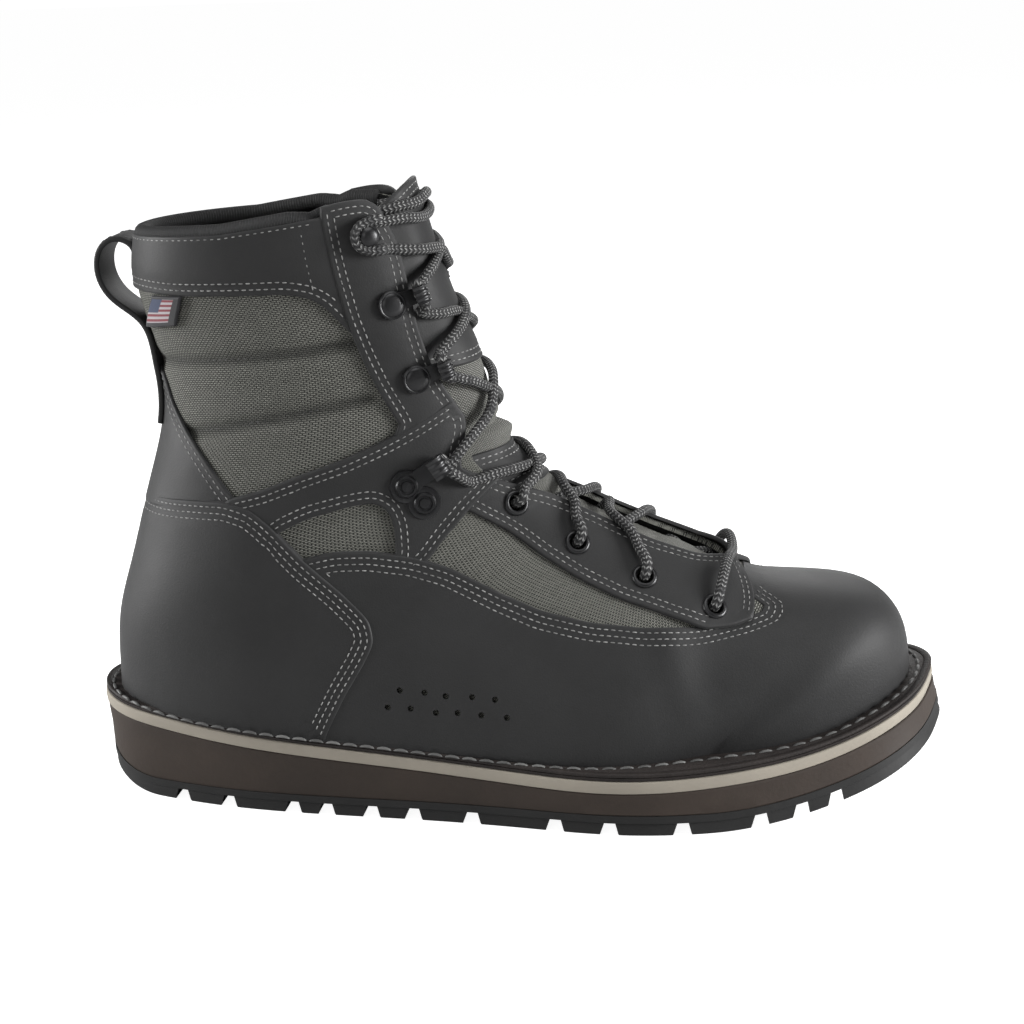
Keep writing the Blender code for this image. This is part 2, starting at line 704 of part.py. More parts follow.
def wall_piece(name, outline, inner, outer, look, sides="both", inset=SEAM_GAP / 2, step=7.0):
    """Panel of the upper: the stretch of its outside within a side-view outline.

    inner and outer are the distances of its two faces from the upper's outside.
    """
    places, faces = triangulate(half_outline(outline, inset, step))
    if sides == "both":
        places, faces = both_sides(places, faces)
    elif sides == "medial":
        places = places * (1, -1) + (0, 1)
        faces = [tuple(reversed(face)) for face in faces]
    return thick_piece(name, places, faces, inner, outer, look)


def thick_piece(name, places, faces, inner, outer, look):
    """Closed solid between two distances from the upper's outside, over given places."""
    v, u = places.T
    out = grid_point(v, u, outer)
    back = grid_point(v, u, inner)
    foot = last_point(v, u)
    welt = foot[:, 2] - feather(foot[:, 0]) < 2 * GAP
    for face_points in (out, back):
        face_points[welt, 2] = feather(face_points[welt, 0])
    count = len(places)
    edges = {(a, b) for face in faces for a, b in zip(face, face[1:] + face[:1])}
    rim = [(a, b) for a, b in edges if (b, a) not in edges]
    solid = list(faces) + [tuple(i + count for i in reversed(face)) for face in faces]
    solid += [(b, a, a + count, b + count) for a, b in rim]
    return add_piece(name, list(out) + list(back), solid, look, merge=True)


def tube(name, route, radius, look, sides=8):
    """Round bar along a smooth route of points, with closed ends."""
    curve = bpy.data.curves.new(name, "CURVE")
    curve.dimensions = "3D"
    curve.bevel_depth = radius * MM
    curve.bevel_resolution = max(sides // 4, 1)
    curve.use_fill_caps = True
    line = curve.splines.new("POLY")
    line.points.add(len(route) - 1)
    for point, place in zip(line.points, route):
        point.co = (*(Vector(place) * MM), 1.0)
    bar = bpy.data.objects.new(name, curve)
    bpy.context.scene.collection.objects.link(bar)
    mesh = bpy.data.meshes.new_from_object(bar.evaluated_get(
        bpy.context.evaluated_depsgraph_get()))
    bpy.data.objects.remove(bar)
    work = bmesh.new()
    work.from_mesh(mesh)
    bmesh.ops.remove_doubles(work, verts=work.verts, dist=1e-6)
    bmesh.ops.recalc_face_normals(work, faces=work.faces)
    work.to_mesh(mesh)
    work.free()
    mesh.name = name
    mesh.shade_smooth()
    piece = bpy.data.objects.new(name, mesh)
    mesh.materials.clear()
    mesh.materials.append(look)
    bpy.context.scene.collection.objects.link(piece)
    return piece


def smooth_route(points, step):
    """Points at about one step apart on a smooth curve through the given points."""
    points = np.array(points, float)
    reach = np.concatenate([[0], np.cumsum(np.linalg.norm(np.diff(points, axis=0), axis=1))])
    at = np.linspace(0, reach[-1], max(2, int(round(reach[-1] / step)) + 1))
    return spline(reach, points, at)


def cut_with(piece, cutter, operation="DIFFERENCE"):
    """Exact Boolean that is applied to the piece; the cutter is taken away."""
    cut = piece.modifiers.new("cut", "BOOLEAN")
    cut.operation = operation
    cut.solver = "EXACT"
    cut.use_self = True
    cut.object = cutter
    bpy.context.view_layer.update()
    mesh = bpy.data.meshes.new_from_object(piece.evaluated_get(
        bpy.context.evaluated_depsgraph_get()))
    piece.modifiers.remove(cut)
    old = piece.data
    piece.data = mesh
    bpy.data.meshes.remove(old)
    mesh.name = piece.name
    bpy.data.objects.remove(cutter)


def local_frame(place, side, out):
    """Origin, outward direction and forward direction on the upper at a lacing point."""
    v, u = place
    if side == "medial":
        u = 1 - u
    origin = wall_point(v, u, out)
    normal = Vector(last_normal(v, u)).normalized()
    towards = -0.004 if side == "medial" else 0.004
    ahead = Vector(last_point(v, u + towards) - last_point(v, u))
    ahead = (ahead - normal * ahead.dot(normal)).normalized()
    return Vector(origin), normal, ahead


def turned_ring(name, frame, profile, look, steps=12):
    """Ring turned about the outward direction. The profile is (radius, height) points."""
    origin, normal, ahead = frame
    aside = normal.cross(ahead)
    points = []
    for k in range(steps):
        turn = 2 * math.pi * k / steps
        spoke = ahead * math.cos(turn) + aside * math.sin(turn)
        points += [origin + spoke * r + normal * h for r, h in profile]
    count = len(profile)
    faces = []
    for k in range(steps):
        a = k * count
        b = ((k + 1) % steps) * count
        faces += [(a + i, a + (i + 1) % count, b + (i + 1) % count, b + i)
                  for i in range(count)]
    return add_piece(name, points, faces, look)


def disc(name, frame, centre, radius, rise, look, steps=10):
    """Low round rivet head with a bevelled edge."""
    origin, normal, ahead = frame
    aside = normal.cross(ahead)
    middle = origin + ahead * centre[0] + aside * centre[1]
    profile = ((radius, HOOK_PLATE / 3), (radius, rise * 0.6), (radius * 0.8, rise))
    points = []
    for r, h in profile:
        for k in range(steps):
            turn = 2 * math.pi * k / steps
            spoke = ahead * math.cos(turn) + aside * math.sin(turn)
            points.append(middle + spoke * r + normal * h)
    faces = [tuple(range(steps)), tuple(range(2 * steps, 3 * steps))]
    for ring in (0, steps):
        faces += [(ring + k, ring + (k + 1) % steps, ring + steps + (k + 1) % steps,
                   ring + steps + k) for k in range(steps)]
    return add_piece(name, points, faces, look)


def bent_strip(name, frame, path, thick, wide, look):
    """Strip of metal that follows a bent path of (forward, outward) points."""
    origin, normal, ahead = frame
    aside = normal.cross(ahead)
    path = [Vector(p) for p in path]
    points = []
    for i, here in enumerate(path):
        before = path[max(i - 1, 0)]
        after = path[min(i + 1, len(path) - 1)]
        along = (after - before).normalized()
        across = Vector((-along.y, along.x)) * thick / 2
        for place in (here + across, here - across):
            for edge in (-wide / 2, wide / 2):
                points.append(origin + ahead * place.x + normal * place.y + aside * edge)
    faces = [(0, 1, 3, 2)]
    for i in range(len(path) - 1):
        a = 4 * i
        b = a + 4
        faces += [(a, b, b + 1, a + 1), (a + 1, b + 1, b + 3, a + 3),
                  (a + 3, b + 3, b + 2, a + 2), (a + 2, b + 2, b, a)]
    last = 4 * (len(path) - 1)
    faces.append((last, last + 2, last + 3, last + 1))
    return add_piece(name, points, faces, look)


def build_sole(looks):
    """Outsole with lugs, midsole, slip, welt strip and insole."""
    outsole = plate("outsole", [layer(outsole_top),
                                layer(lambda x: floor_line(x) + LUG_DEPTH, 0.0),
                                layer(lambda x: floor_line(x) + LUG_DEPTH - 0.4, 0.5),
                                layer(floor_line, 0.2)], looks["rubber"])
    cut_with(outsole, tread_cutter())
    mid_low = plate("midsole", [
        layer(lambda x: midsole_top(x) - GAP), layer(lambda x: outsole_top(x) + GAP)],
        looks["foam"])
    slip = plate("midsole_slip", [
        layer(slip_top, -0.3), layer(lambda x: slip_top(x) - SLIP / 2, -0.7),
        layer(midsole_top, -0.3)], looks["slip"])
    welt = ring_plate("welt", lambda x: slip_top(x) + GAP, WELT - GAP, looks["welt"])
    inner_loop = feather_loop(WALL + 6 * GAP)
    insole = plate("insole", [
        (inner_loop, lambda x: feather(x) + INSOLE), (inner_loop, feather),
        (sole_loop(WELT_WIDTH + GAP), feather),
        (sole_loop(WELT_WIDTH + GAP), lambda x: slip_top(x) + GAP)], looks["lining"])
    return outsole, mid_low, slip, welt, insole


def tread_cutter():
    """Side notches, cross grooves and two long grooves, as one cutting tool."""
    outer, inner = sole_loop()
    points = []
    faces = []

    def prism(corners, low, high):
        base = len(points)
        n = len(corners)
        points.extend((x, y, low) for x, y in corners)
        points.extend((x, y, high(x)) for x, y in corners)
        faces.append(tuple(base + i for i in reversed(range(n))))
        faces.append(tuple(base + n + i for i in range(n)))
        faces.extend((base + i, base + (i + 1) % n, base + n + (i + 1) % n, base + n + i)
                     for i in range(n))

    def top(x):
        return float(floor_line(x)) + LUG_DEPTH

    for share in NOTCHES:
        x = share * SOLE_LENGTH
        half = NOTCH_WIDTH / 2
        for side, sign in ((outer, -1), (inner, 1)):
            edge = float(np.interp(x, side[:, 0], side[:, 1]))
            reach = edge - sign * NOTCH_REACH
            far = edge + sign * 12.0
            prism([(x - half, reach), (x + half, reach), (x + half * 1.6, far),
                   (x - half * 1.6, far)][::-sign], -5.0, top)
    for k, share in enumerate(NOTCHES[:-1]):
        x = (share + NOTCHES[k + 1]) / 2 * SOLE_LENGTH
        low = float(np.interp(x, outer[:, 0], outer[:, 1])) + NOTCH_REACH + 3.0
        high = float(np.interp(x, inner[:, 0], inner[:, 1])) - NOTCH_REACH - 3.0
        half = CENTRE_GROOVE / 2
        middle = (low + high) / 2
        skew = 4.0 if k % 2 else -4.0
        prism([(x - half - skew, low), (x + half - skew, low), (x + half + skew, middle),
               (x + half - skew, high), (x - half - skew, high), (x - half + skew, middle)],
              -5.0, top)
    cutter = add_piece("tread_cutter", points, faces, material("cutter", (1, 0, 0), 1.0))
    cutter.hide_render = True
    cutter.display_type = "WIRE"
    return cutter


def build_upper(looks):
    """Hollow upper and the panels that lie on it. Outlines run past the boot's
    silhouette at the back and front, where they end on its middle line."""
    behind = 0.0
    ahead = 1.03
    upper_line = ((behind, 2.955),) + COLLAR_LINE + THROAT_LINE + ((.80, 1.06), (ahead, 1.0))
    wall_piece("upper", side_view(upper_line) + welt_run(ahead, behind, 50), -WALL, 0.0,
               looks["textile"], inset=0.0)
    counter = side_view(COUNTER_TOP + COUNTER_FRONT[1:]) + welt_run(SEAM_FOOT, behind)
    wall_piece("heel_counter", counter + side_view(((behind, 1.90),)), PANEL_GAP, PANEL_GAP + COUNTER,
               looks["leather"])
    vamp = side_view(tuple(reversed(COUNTER_FRONT[1:])) + VAMP_TOP[1:] + (
        (.81, 1.12), (ahead, 1.0))) + welt_run(ahead, SEAM_FOOT, 40)
    wall_piece("vamp", vamp, PANEL_GAP, PANEL_GAP + VAMP, looks["leather"])
    backstay = ((behind, 2.46),) + BACKSTAY_FRONT + tuple(
        reversed(COUNTER_TOP[:4])) + ((behind, 1.90),)
    wall_piece("backstay", side_view(backstay), PANEL_GAP, PANEL_GAP + BACKSTAY, looks["leather"])
    cuff = ((behind, 2.955),) + COLLAR_LINE[:2] + ((.295, 3.03), (.309, 3.04)) + (
        EYESTAY_BACK[1:3]) + tuple(reversed(CUFF_LINE)) + ((behind, 2.79),)
    wall_piece("collar_cuff", side_view(cuff), PANEL_GAP, PANEL_GAP + CUFF, looks["leather"])
    strap = STRAP_TOP + (THROAT_LINE[7], (.448, 2.20), (.436, 2.13), LOWER_FRONT[0]) + (
        LOWER_FRONT[1:3]) + (
        (.493, 1.11), (.435, 1.34), (.392, 1.46)) + tuple(reversed(WINDOW_EDGE)) + (
        COUNTER_TOP[5], COUNTER_TOP[4], (.193, 1.929))
    eye_upper = EYESTAY_BACK + STRAP_TOP[5:] + tuple(reversed(THROAT_LINE[:7]))
    eye_lower = LOWER_FRONT[1:] + VAMP_TOP[10:14] + ((.778, 1.02),) + tuple(
        reversed(THROAT_LINE[10:20]))
    for side in ("lateral", "medial"):
        wall_piece("ankle_strap_" + side, side_view(strap), PANEL_GAP, PANEL_GAP + STRAP,
                   looks["leather"], sides=side)
        wall_piece("eyestay_upper_" + side, side_view(eye_upper), PANEL_GAP, PANEL_GAP + EYESTAY,
                   looks["leather"], sides=side)
        wall_piece("eyestay_lower_" + side, side_view(eye_lower), PANEL_GAP, PANEL_GAP + EYESTAY,
                   looks["leather"], sides=side)
    wall_piece("side_label", side_view(LABEL_CORNERS), PANEL_GAP, PANEL_GAP + LABEL, looks["label"],
               sides="lateral")


def throat_edge():
    """Places of the throat's outer edge, by row."""
    places = np.array([find(x, z) for x, z in densify(side_view(THROAT_LINE), 4.0, False)])
    return places[np.argsort(places[:, 0])]


def throat_u(v):
    """Where the throat's edge lies at a row, on the outer side."""
    edge = throat_edge()
    return np.interp(v, edge[:, 0], edge[:, 1])


def build_tongue(looks):
    """Padded tongue that fills the throat, its wings under the eyestays."""
    rows = np.linspace(TONGUE_TOP, TONGUE_END, 17)

    def opening(v):
        return 0.5 - throat_u(np.clip(v, 0.01, 0.76))

    def strip(share):
        return [(v, 0.5 - float(opening(v)) * share) for v in rows]

    wing = TONGUE_WING / GIRTH * np.clip(0.2 + (rows - TONGUE_TOP) * 25, 0.2, 1)
    outline = [(v, 0.5 - float(opening(v)) - w) for v, w in zip(rows, wing)]
    outline += [(rows[-1], 0.5), (rows[0], 0.5)]
    places, faces = triangulate(outline, [strip(TONGUE_STEP[0]), strip(TONGUE_STEP[1])])
    places, faces = both_sides(places, faces)
    v, u = places.T
    share = np.abs(u - 0.5) / opening(v)
    blend = np.clip((share - TONGUE_STEP[0]) / (TONGUE_STEP[1] - TONGUE_STEP[0]), 0, 1)
    blend = np.maximum(blend, np.clip((v - 0.64) / 0.035, 0, 1))
    deep = WALL + GAP + 1.7 * np.clip(1 - v / 0.10, 0, 1)
    out = TONGUE_CROWN * (1 - blend) - deep * blend
    thick_piece("tongue", places, faces, out - TONGUE, out, looks["textile"])


def build_collar_roll(looks):
    """Padded black roll that stands on the collar's rim, round the back."""
    outline = trace(densify(side_view(((0.0, 2.955),) + COLLAR_LINE[:3]), 7.0, False), False)
    places = [(v, 1 - u) for v, u in reversed(outline[1:])] + outline
    route = []
    for v, u in places:
        here = grid_point(v, u, -WALL / 2)
        up = last_point(v - 0.01, u) - last_point(v, u)
        route.append(here + up / np.linalg.norm(up) * (COLLAR_ROLL + 2 * GAP))
    trim = 2 * GAP
    route = smooth_route(route, CORD_STEP)
    route[0] += (route[1] - route[0]) / np.linalg.norm(route[1] - route[0]) * trim
    route[-1] += (route[-2] - route[-1]) / np.linalg.norm(route[-2] - route[-1]) * trim
    tube("collar_roll", route, COLLAR_ROLL, looks["lining"])


def build_pull_loop(looks):
    """Strap bent into a loop behind the collar, with its tail down the back seam."""
    top_v = 0.012
    start = last_point(top_v, 0.0)
    centre = [(start[0] + dx, start[2] + dz) for dx, dz in LOOP_PATH]
    tail = []
    for v in np.linspace(LOOP_TAIL[0], LOOP_TAIL[1], 7):
        place = wall_point(v, 0.0, GAP + PULL_LOOP / 2 + 0.9)
        tail.append((place[0], place[2]))
    path = smooth_route(centre + tail, 5.0)
    points = []
    for i, here in enumerate(path):
        ahead = path[min(i + 1, len(path) - 1)] - path[max(i - 1, 0)]
        ahead = ahead / np.linalg.norm(ahead)
        across = np.array([-ahead[1], ahead[0]]) * PULL_LOOP / 2
        for place in (here + across, here - across):
            for y in (-PULL_LOOP_WIDTH / 2, PULL_LOOP_WIDTH / 2):
                points.append((place[0], y, place[1]))
    faces = [(0, 1, 3, 2)]
    for i in range(len(path) - 1):
        a = 4 * i
        b = a + 4
        faces += [(a, b, b + 1, a + 1), (a + 1, b + 1, b + 3, a + 3),
                  (a + 3, b + 3, b + 2, a + 2), (a + 2, b + 2, b, a)]
    last = 4 * (len(path) - 1)
    faces.append((last, last + 2, last + 3, last + 1))
    add_piece("pull_loop", points, faces, looks["leather"])


def build_hardware(looks):
    """Eyelets, speed hooks and two-rivet lock hooks on both sides."""
    seat = PANEL_GAP + EYESTAY + GAP
    ring = ((EYELET_HOLE, 0.0), (EYELET_RADIUS, 0.0),
            (EYELET_RADIUS * 0.8, EYELET_HEIGHT), (EYELET_HOLE, EYELET_HEIGHT * 0.9))
    for side in ("lateral", "medial"):
        for k, (x, level) in enumerate(EYELETS):
            place = find(*side_view(((x, level),))[0])
            turned_ring("eyelet_%s_%d" % (side, k + 1), local_frame(place, side, seat), ring,
                        looks["metal"])
        for k, (x, level) in enumerate(HOOKS):
            place = find(*side_view(((x, level),))[0])
            frame = local_frame(place, side, seat)
            speed_hook("hook_%s_%d" % (side, k + 1), frame, ((0.0, 0.0),), looks["metal"])
        place = find(*side_view((LOCK_HOOK,))[0])
        frame = local_frame(place, side, PANEL_GAP + STRAP + GAP)
        speed_hook("lock_hook_" + side, frame, ((0.0, 0.0), LOCK_RIVET), looks["metal"])


def speed_hook(name, frame, rivets, look):
    """Plate under its rivet heads, bent forward and back over itself as a hook."""
    plate_mid = HOOK_PLATE / 2
    path = [(-HOOK_STUD, plate_mid), (HOOK_STUD, plate_mid), (HOOK_STUD + 4.5, plate_mid + .5),
            (HOOK_STUD + 6.8, HOOK_RISE * 0.45), (HOOK_STUD + 5.6, HOOK_RISE * 0.85),
            (HOOK_STUD + 2.2, HOOK_RISE)]
    hook = bent_strip(name, frame, path, HOOK_PLATE, HOOK_WIDTH, look)
    for centre in rivets:
        centre = (centre[0], centre[1] if "medial" not in name else -centre[1])
        head = disc(name + "_rivet", frame, centre, HOOK_STUD, HOOK_PLATE + 1.3, look)
        cut_with(hook, head, "UNION")


def build_lace(looks):
    """Lace crossings over the tongue, joined where they cross."""
    stops = []
    for x, level in EYELETS[::-1]:
        stops.append((find(*side_view(((x, level),))[0]), LACE_CLEAR_EYELET))
    stops.append((find(*side_view((LOCK_HOOK,))[0]), LACE_CLEAR_HOOK))
    for x, level in HOOKS[::-1]:
        stops.append((find(*side_view(((x, level),))[0]), LACE_CLEAR_HOOK))

    def stop(k, side):
        (v, u), clear = stops[k]
        u = u + clear / GIRTH
        return v, u if side == 0 else 1 - u

    ways = []
    for first in (0, 1):
        route = []
        for k in range(len(stops) - 1):
            side = (k + first) % 2
            (va, ua), (vb, ub) = stop(k, side), stop(k + 1, 1 - side)
            for share in (0.0, 0.25, 0.5, 0.75):
                route.append((va + (vb - va) * share, ua + (ub - ua) * share))
        route.append(stop(len(stops) - 1, (len(stops) - 1 + first) % 2))
        ways.append(route)
    bar = [(stop(0, 0)[0], stop(0, 1)[1] + (stop(0, 0)[1] - stop(0, 1)[1]) * s)
           for s in (0.0, 0.25, 0.5, 0.75)]
    ways[0] = bar + ways[0]
    tubes = []
    for route in ways:
        line = []
        for v, u in route:
            edge = float(throat_u(min(max(v, 0.01), 0.76)))
            share = abs(u - 0.5) / max(0.5 - edge, 1e-3)
            lift = LACE_LIFT + LACE_OVER_EDGE * float(np.clip((share - 0.5) / 0.5, 0, 1))
            line.append(wall_point(v, u, np.array(lift)))
        tubes.append(tube("lace", smooth_route(line, CORD_STEP), LACE_RADIUS, looks["lace"], 6))
    cut_with(tubes[0], tubes[1], "UNION")
    tubes[0].name = "lace"


def centre_over_origin():
    """Hang every piece on one empty that puts the boot's middle over the origin."""
    corners = np.array([piece.matrix_world @ Vector(corner)
                        for piece in bpy.data.objects for corner in piece.bound_box])
    boot = bpy.data.objects.new("boot", None)
    bpy.context.scene.collection.objects.link(boot)
    low = corners.min(axis=0)
    high = corners.max(axis=0)
    boot.location = (-(low[0] + high[0]) / 2, -(low[1] + high[1]) / 2, -low[2])
    for piece in bpy.data.objects:
        if piece is not boot:
            piece.parent = boot


def main():
    """Build every piece and centre the boot over the origin."""
    for old in list(bpy.data.objects):
        bpy.data.objects.remove(old)
    looks = {
        "leather": material("leather", (.035, .035, .036), 0.5),
        "textile": material("textile", (.12, .125, .115), 0.8),
        "rubber": material("outsole_rubber", (.012, .012, .012), 0.6),
        "foam": material("midsole_foam", (.03, .024, .02), 0.7),
        "slip": material("slip_foam", (.30, .28, .25), 0.7),
        "welt": material("welt_leather", (.02, .018, .017), 0.55),
        "lining": material("lining", (.02, .02, .02), 0.9),
        "metal": material("hook_metal", (.02, .02, .02), 0.35, 1.0),
        "lace": material("lace_cord", (.10, .10, .10), 0.8),
        "label": material("label_weave", (.08, .10, .20), 0.8),
    }
    build_sole(looks)
    build_upper(looks)
    build_tongue(looks)
    build_collar_roll(looks)
    build_pull_loop(looks)
    build_hardware(looks)
    build_lace(looks)
    centre_over_origin()


main()
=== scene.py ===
"""Looks of a right wading boot: woven and leather upper on a stitched, lugged sole.

Run it as a script in Blender. Lengths in the code are millimetres in the boot's own
directions: X from the back of the sole to the toe, -Y to the outer side, Z up from
the floor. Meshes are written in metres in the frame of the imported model.
"""
import math

import bmesh
import bpy
import numpy as np
from bpy.props import FloatProperty, FloatVectorProperty, PointerProperty
from bpy.types import Operator, Panel, PropertyGroup
from mathutils import Matrix, Vector
from mathutils.geometry import delaunay_2d_cdt
from mathutils.kdtree import KDTree


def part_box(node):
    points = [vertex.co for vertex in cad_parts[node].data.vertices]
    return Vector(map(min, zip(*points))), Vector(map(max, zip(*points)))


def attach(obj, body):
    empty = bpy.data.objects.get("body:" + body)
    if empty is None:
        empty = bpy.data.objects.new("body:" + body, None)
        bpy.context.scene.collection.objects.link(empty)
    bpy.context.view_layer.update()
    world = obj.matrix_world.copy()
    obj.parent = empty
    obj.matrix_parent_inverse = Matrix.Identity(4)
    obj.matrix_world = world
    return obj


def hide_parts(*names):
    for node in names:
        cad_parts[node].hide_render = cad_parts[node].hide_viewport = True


bl_info = {
    "name": "Wading boot",
    "version": (1, 0, 0),
    "blender": (4, 5, 0),
    "location": "View3D > Sidebar > Boot",
    "description": "Builds the finishes and fine pieces of a laced wading boot",
    "category": "Object",
}

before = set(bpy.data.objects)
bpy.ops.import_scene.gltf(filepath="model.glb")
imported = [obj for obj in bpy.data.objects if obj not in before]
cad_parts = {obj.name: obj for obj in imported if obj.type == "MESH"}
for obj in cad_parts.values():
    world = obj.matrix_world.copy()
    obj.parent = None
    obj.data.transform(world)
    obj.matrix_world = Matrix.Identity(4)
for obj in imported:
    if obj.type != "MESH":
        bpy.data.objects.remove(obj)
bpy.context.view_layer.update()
MM = 0.001

# Lengths, widths and heights of the foot form and the sole
SOLE_LENGTH = 312.0
BALL_WIDTH = 114.0
HEEL_WIDTH = 80.0
SHAFT_WIDTH = 66.0
TOE_HEIGHT = 74.0
INSTEP_HEIGHT = 115.0
COLLAR_HEIGHT = 206.0
HEEL_STACK = 35.8
BALL_STACK = 19.8
TOE_STACK = 40.0
TOE_SPRING = 21.0
HEEL_BEVEL = 8.0
WELT = 2.8
SLIP = 4.6
OUTSOLE = 7.2
LUG_DEPTH = 4.6
WALL = 2.4
GAP = 0.35
WELT_WIDTH = 17.0

# Outer faces of the panels over the woven wall: a later one lies over an earlier one
BACKSTAY = 1.2
CUFF = 1.5
EYESTAY_LOWER = 1.5
EYESTAY_UPPER = 1.9
STRAP = 2.0
VAMP = 2.2
COUNTER = 2.7
LABEL = 2.2

# Rings of the upper's wall from the collar to the toe. Columns: front x, front level,
# front y, back x, back level, outer and inner half width, which width these are shares of,
# widest place, and how square the ring is behind and ahead
SECTIONS = (
    (.404, 3.14, .000, .083, 3.00, .53, .47, 2.0, .50, 2.20, 2.10),
    (.423, 2.91, .000, .076, 2.80, .53, .47, 2.0, .50, 2.10, 2.10),
    (.447, 2.67, .000, .090, 2.57, .515, .47, 2.0, .50, 2.00, 2.10),
    (.471, 2.47, .000, .099, 2.36, .51, .48, 2.0, .48, 1.95, 2.10),
    (.482, 2.29, .002, .092, 2.18, .51, .49, 2.0, .46, 1.95, 2.10),
    (.500, 2.15, .003, .071, 1.88, .51, .50, 1.9, .44, 2.00, 2.10),
    (.522, 2.06, .005, .046, 1.24, .50, .485, 1.5, .42, 2.10, 2.05),
    (.545, 2.00, .006, .028, .865, .495, .475, 1.2, .42, 2.20, 2.00),
    (.567, 1.89, .008, .024, .570, .495, .465, 1.0, .42, 2.30, 1.95),
    (.593, 1.77, .010, .038, .200, .49, .42, .80, .42, 2.30, 1.95),
    (.622, 1.66, .011, .160, .040, .48, .395, .60, .36, 2.30, 1.95),
    (.657, 1.54, .013, .304, -.04, .475, .38, .40, .33, 2.30, 1.95),
    (.692, 1.40, .015, .433, -.07, .475, .38, .20, .31, 2.30, 2.00),
    (.734, 1.22, .016, .529, -.08, .46, .395, .00, .31, 2.30, 2.10),
    (.779, 1.04, .019, .583, -.11, .445, .415, .00, .31, 2.30, 2.25),
    (.824, .99, .022, .603, -.13, .425, .425, .00, .33, 2.30, 2.40),
    (.865, .97, .026, .603, -.16, .41, .425, .00, .36, 2.30, 2.50),
    (.901, .94, .029, .590, -.19, .405, .42, .00, .40, 2.30, 2.50),
    (.928, .88, .030, .571, -.22, .41, .42, .00, .42, 2.30, 2.45),
    (.946, .79, .032, .545, -.24, .415, .415, .00, .42, 2.30, 2.35),
    (.955, .68, .032, .506, -.27, .42, .41, .00, .44, 2.30, 2.25),
    (.958, .55, .032, .465, -.30, .43, .41, .00, .46, 2.30, 2.20),
    (.958, .41, .032, .423, -.32, .435, .41, .00, .48, 2.30, 2.20),
)

# The sole's edge: share of the length, outer and inner half width, which width
SOLE_EDGE = (
    (.000, .000, .000, 1.0), (.012, .180, .180, 1.0), (.040, .307, .307, 1.0),
    (.090, .402, .402, 1.0), (.170, .495, .485, 1.0), (.280, .520, .455, .80),
    (.400, .505, .405, .50), (.520, .510, .390, .20), (.620, .520, .420, .00),
    (.700, .506, .460, .00), (.780, .450, .475, .00), (.860, .365, .448, .00),
    (.925, .262, .385, .00), (.962, .140, .295, .00), (.981, -.005, .190, .00),
    (.987, -.090, .090, .00),
)

# Top of the slip layer: share of the length, shares of the heel, ball and toe stacks
SLIP_TOP = (
    (.00, 1.0, .00, .00), (.19, .57, .43, .00), (.385, .25, .75, .00),
    (.577, .00, 1.0, .00), (.74, .00, 1.0, .03), (.865, .00, .70, .31),
    (.945, .00, .25, .73), (1.0, .00, .00, 1.0),
)

# Side-view lines of the panels, each as share of the length and level
COLLAR_LINE = ((.03, 2.945), (.20, 2.975), (.302, 3.03), (.310, 3.07), (.340, 3.09), (.362, 3.08))
THROAT_LINE = ((.372, 3.04), (.383, 2.96), (.390, 2.87), (.397, 2.74), (.404, 2.63),
               (.415, 2.51), (.428, 2.41), (.451, 2.27), (.455, 2.18), (.463, 2.10),
               (.474, 2.05), (.489, 2.01), (.510, 1.96), (.540, 1.87), (.580, 1.71),
               (.620, 1.56), (.660, 1.42), (.700, 1.30), (.735, 1.20), (.757, 1.10),
               (.772, 1.00), (.778, .97))
CUFF_LINE = ((.03, 2.79), (.14, 2.775), (.20, 2.78), (.268, 2.785), (.295, 2.768), (.310, 2.735),
             (.324, 2.68))
EYESTAY_TOP = ((.372, 3.05), (.366, 3.09), (.355, 3.115), (.333, 3.11), (.3115, 3.095))
EYESTAY_BACK = ((.3105, 3.07), (.314, 2.99), (.321, 2.85), (.333, 2.68), (.346, 2.55),
                (.362, 2.42), (.384, 2.27))
STRAP_TOP = ((.190, 1.97), (.227, 2.02), (.271, 2.08), (.319, 2.135), (.360, 2.195),
             (.399, 2.26), (.431, 2.325), (.439, 2.34))
WINDOW_EDGE = ((.244, 1.70), (.281, 1.83), (.327, 1.92), (.353, 1.945), (.368, 1.88),
               (.376, 1.74), (.377, 1.50))
LOWER_FRONT = ((.470, 2.06), (.465, 1.87), (.500, 1.62), (.541, 1.39), (.580, 1.21),
               (.626, 1.05), (.670, .97), (.703, .915), (.712, .897))
STRAP_THROAT = ((.451, 2.27), (.451, 2.20), (.446, 2.13), (.447, 2.08), (.462, 2.045),
                (.483, 2.035))
STRAP_FRONT = ((.4865, 2.015), (.4558, 1.83), (.428, 1.602), (.4106, 1.427), (.400, 1.36))
BACKSTAY_FRONT = ((.100, 2.46), (.108, 2.43), (.117, 2.34), (.136, 2.24), (.161, 2.13),
                  (.186, 2.02), (.196, 1.97))
COUNTER_TOP = ((.03, 1.90), (.105, 1.91), (.140, 1.93), (.185, 1.945), (.215, 1.885),
               (.235, 1.76))
SEAM_FOOT = 0.290
COUNTER_FRONT = ((.235, 1.76), (.272, 1.46), (.312, 1.19), (.345, .96), (.350, .86),
                 (.338, .76), (.316, .61), (.300, .48), (SEAM_FOOT, .396))
VAMP_TOP = ((.255, 1.60), (.270, 1.46), (.307, 1.52), (.346, 1.52), (.392, 1.46),
            (.435, 1.34), (.493, 1.11), (.538, .98), (.594, .925), (.650, .905),
            (.717, .895), (.762, .905), (.784, .922), (.788, .945), (.780, .965),
            (.770, .985), (.764, 1.03), (.768, 1.12))
EYESTAY_FRONT = ((.717, .885), (.750, .880), (.7725, .900), (.7760, .955), (.7700, 1.02))
CUFF_SEAM = ((.289, 3.01), (.293, 2.90), (.299, 2.79))
CUFF_TOP_SEAM = ((0.0, 2.972), (.03, 2.962), (.20, 2.991), (.300, 3.038))
